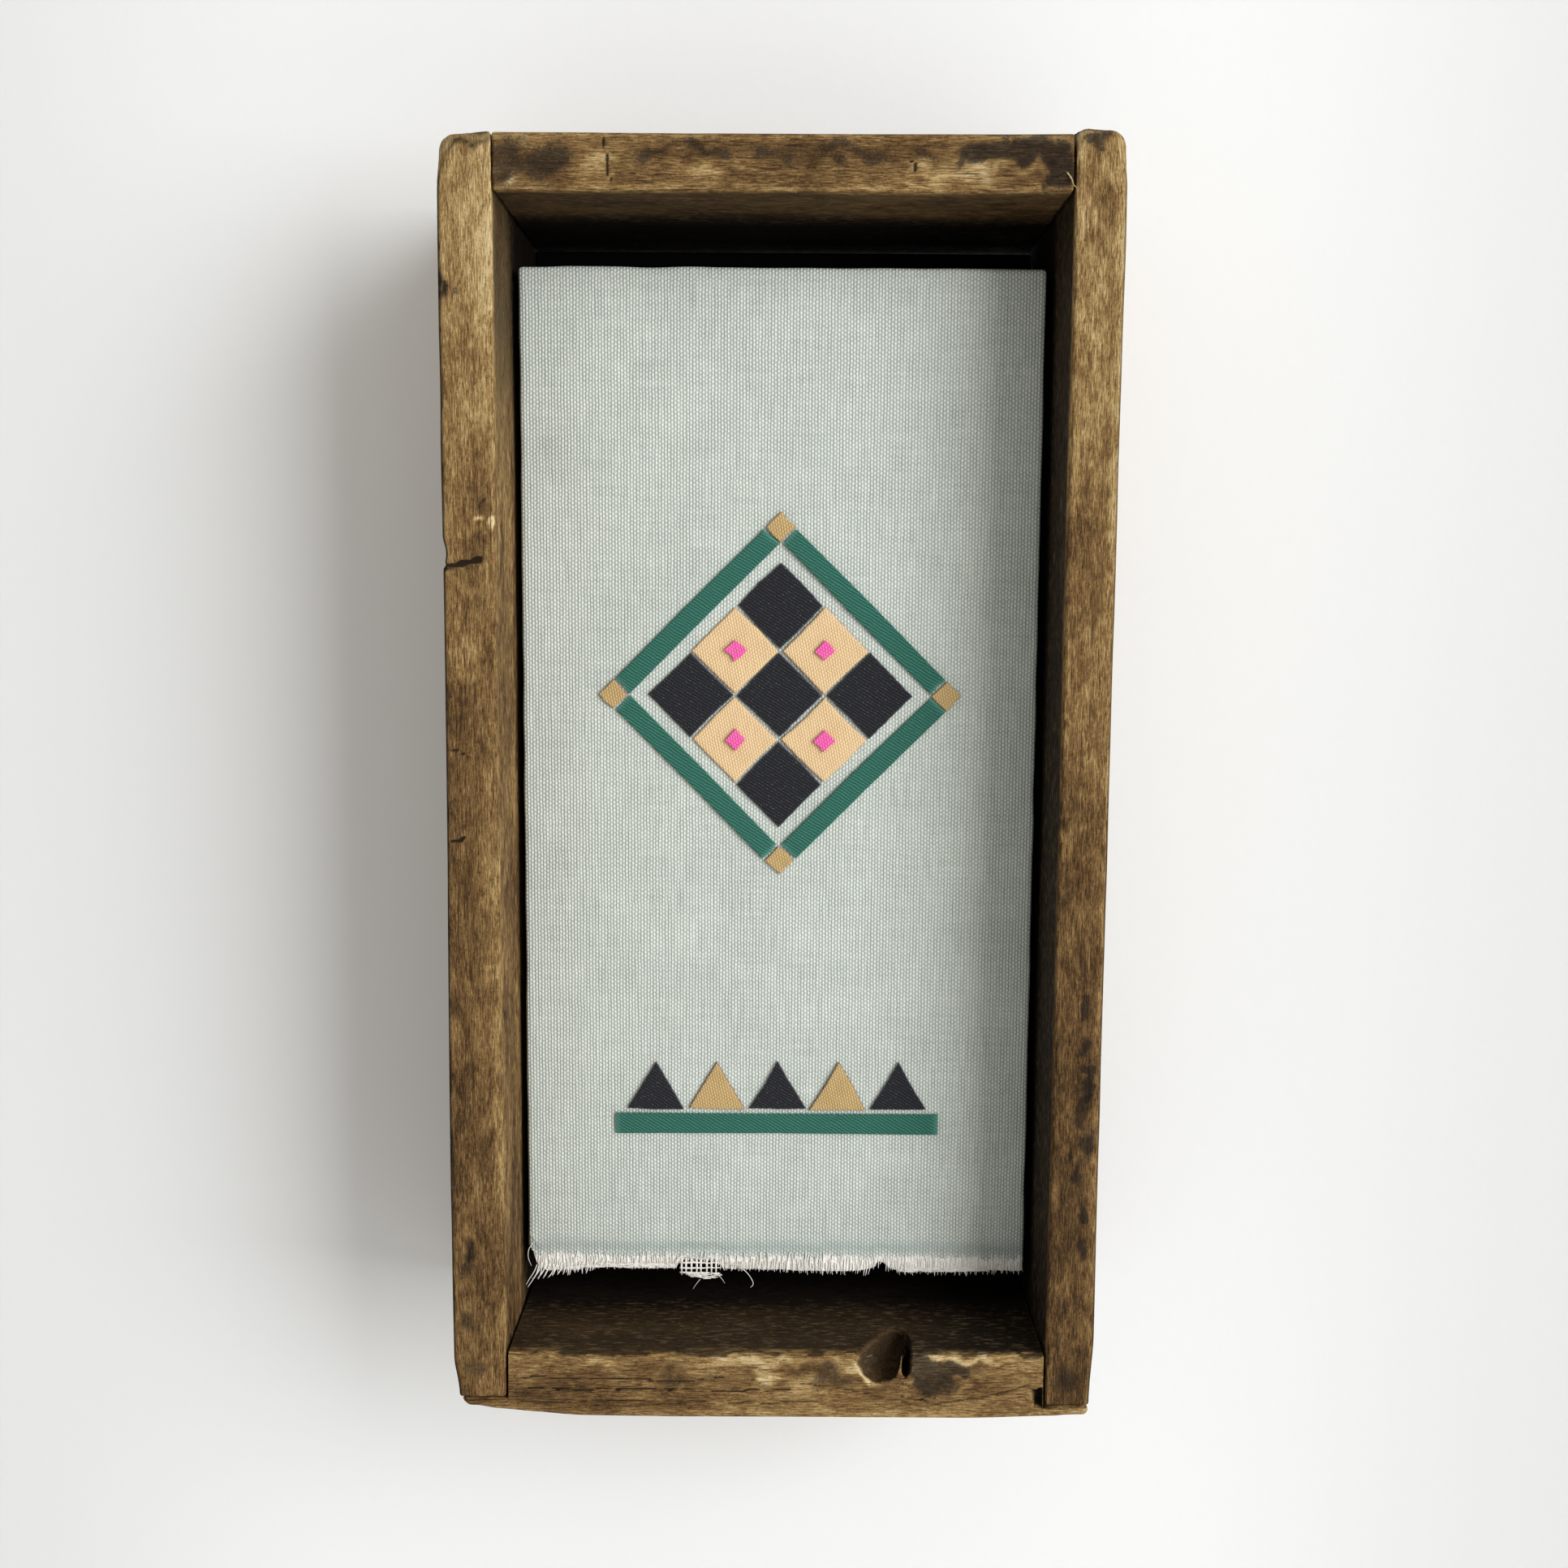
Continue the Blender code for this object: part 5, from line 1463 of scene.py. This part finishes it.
def wall_finish():
    """Pale paint with painted shade that makes it a little darker towards both sides, and clear from behind.
    """
    tree = Tree("wall_paint")
    x = tree.axes()[0]
    tone = WALL_PAINT
    for shade in WALL_PAINTED_SHADES:
        tone = tree.mix(tree.between(x, *shade), tone, (0, 0, 0))
    stage_finish(tree, tone)
    facing = tree.nodes.new("ShaderNodeNewGeometry")
    clear = tree.nodes.new("ShaderNodeBsdfTransparent")
    both = tree.nodes.new("ShaderNodeMixShader")
    tree.links.new(facing.outputs["Backfacing"], both.inputs[0])
    tree.links.new(tree.shader.outputs[0], both.inputs[1])
    tree.links.new(clear.outputs[0], both.inputs[2])
    tree.links.new(both.outputs[0], tree.nodes["Material Output"].inputs["Surface"])
    return tree.material


STAGE_HALF = 4.0
WALL_Y = 0.6 * MM
FLOOR_Z = -1.25


def stage():
    """A pale wall just behind the box, clear from behind, and a pale floor well below it."""
    low, high = -STAGE_HALF, STAGE_HALF
    wall = mesh_object(
        "wall",
        [(low, WALL_Y, FLOOR_Z), (high, WALL_Y, FLOOR_Z), (high, WALL_Y, high), (low, WALL_Y, high)],
        [(0, 1, 2, 3)],
        wall_finish(),
        smooth=False,
    )
    wall.visible_shadow = False
    wall.visible_diffuse = False
    wall.visible_glossy = False
    wall.visible_transmission = False
    floor = mesh_object(
        "floor",
        [(low, low, FLOOR_Z), (high, low, FLOOR_Z), (high, high, FLOOR_Z), (low, high, FLOOR_Z)],
        [(0, 1, 2, 3)],
        stage_finish(Tree("floor_paint"), (*FLOOR_PAINT, 1)),
        smooth=False,
    )


BOX_CENTRE = Vector((0, -37.5 * MM, -102 * MM))


def area_light(name, towards, distance, width, height, power, colour=(1, 1, 1)):
    """A soft rectangular light in a direction from the box, which it faces."""
    data = bpy.data.lights.new(name, "AREA")
    data.shape = "RECTANGLE"
    data.size, data.size_y = width, height
    data.energy = power
    data.color = colour
    light = bpy.data.objects.new(name, data)
    way = Vector(towards).normalized()
    light.location = BOX_CENTRE + way * distance
    light.rotation_euler = way.to_track_quat("Z", "Y").to_euler()
    bpy.context.scene.collection.objects.link(light)


DAYLIGHT = (0.97, 0.985, 1.0)
ROOM_LIGHT = (1.0, 0.975, 0.94, 1)
ROOM_STRENGTH = 0.5


def lights():
    """Daylight from a window at the right, a faint light behind the wall, and a dim warm room."""
    area_light("window", (0.72, -0.75, 0.22), distance=3.6, width=2.1, height=2.8, power=128, colour=DAYLIGHT)
    area_light("behind", (-0.9, 1.0, 1.2), distance=2.0, width=1.5, height=1.5, power=14)
    world = bpy.data.worlds.new("room")
    world.use_nodes = True
    background = world.node_tree.nodes["Background"]
    background.inputs["Color"].default_value = ROOM_LIGHT
    background.inputs["Strength"].default_value = ROOM_STRENGTH
    bpy.context.scene.world = world


def camera():
    data = bpy.data.cameras.new("camera")
    data.sensor_fit = "HORIZONTAL"
    data.lens = data.sensor_width * FOCAL_SHARE
    data.clip_start = 0.01
    thing = bpy.data.objects.new("camera", data)
    turn = (
        Matrix.Rotation(math.radians(-CAMERA_YAW), 4, "Z")
        @ Matrix.Rotation(math.radians(90 - CAMERA_DOWN), 4, "X")
        @ Matrix.Rotation(math.radians(CAMERA_ROLL), 4, "Z")
    )
    thing.matrix_world = Matrix.Translation(CAMERA_PLACE) @ turn
    bpy.context.scene.collection.objects.link(thing)
    bpy.context.scene.camera = thing


def main():
    camera()
    lights()
    stage()
    left_board()
    right_board()
    top_board()
    bottom_board()
    sheet = linen_cover()
    edge = fringe()
    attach(edge, "root")
    pieces = cloth_pieces()
    whiskers()
    finish_solids()
    bpy.context.scene.view_settings.view_transform = "Standard"


woods = {grain: old_wood(f"old_wood_grain_{grain}", grain) for grain in (0, 2)}
main()
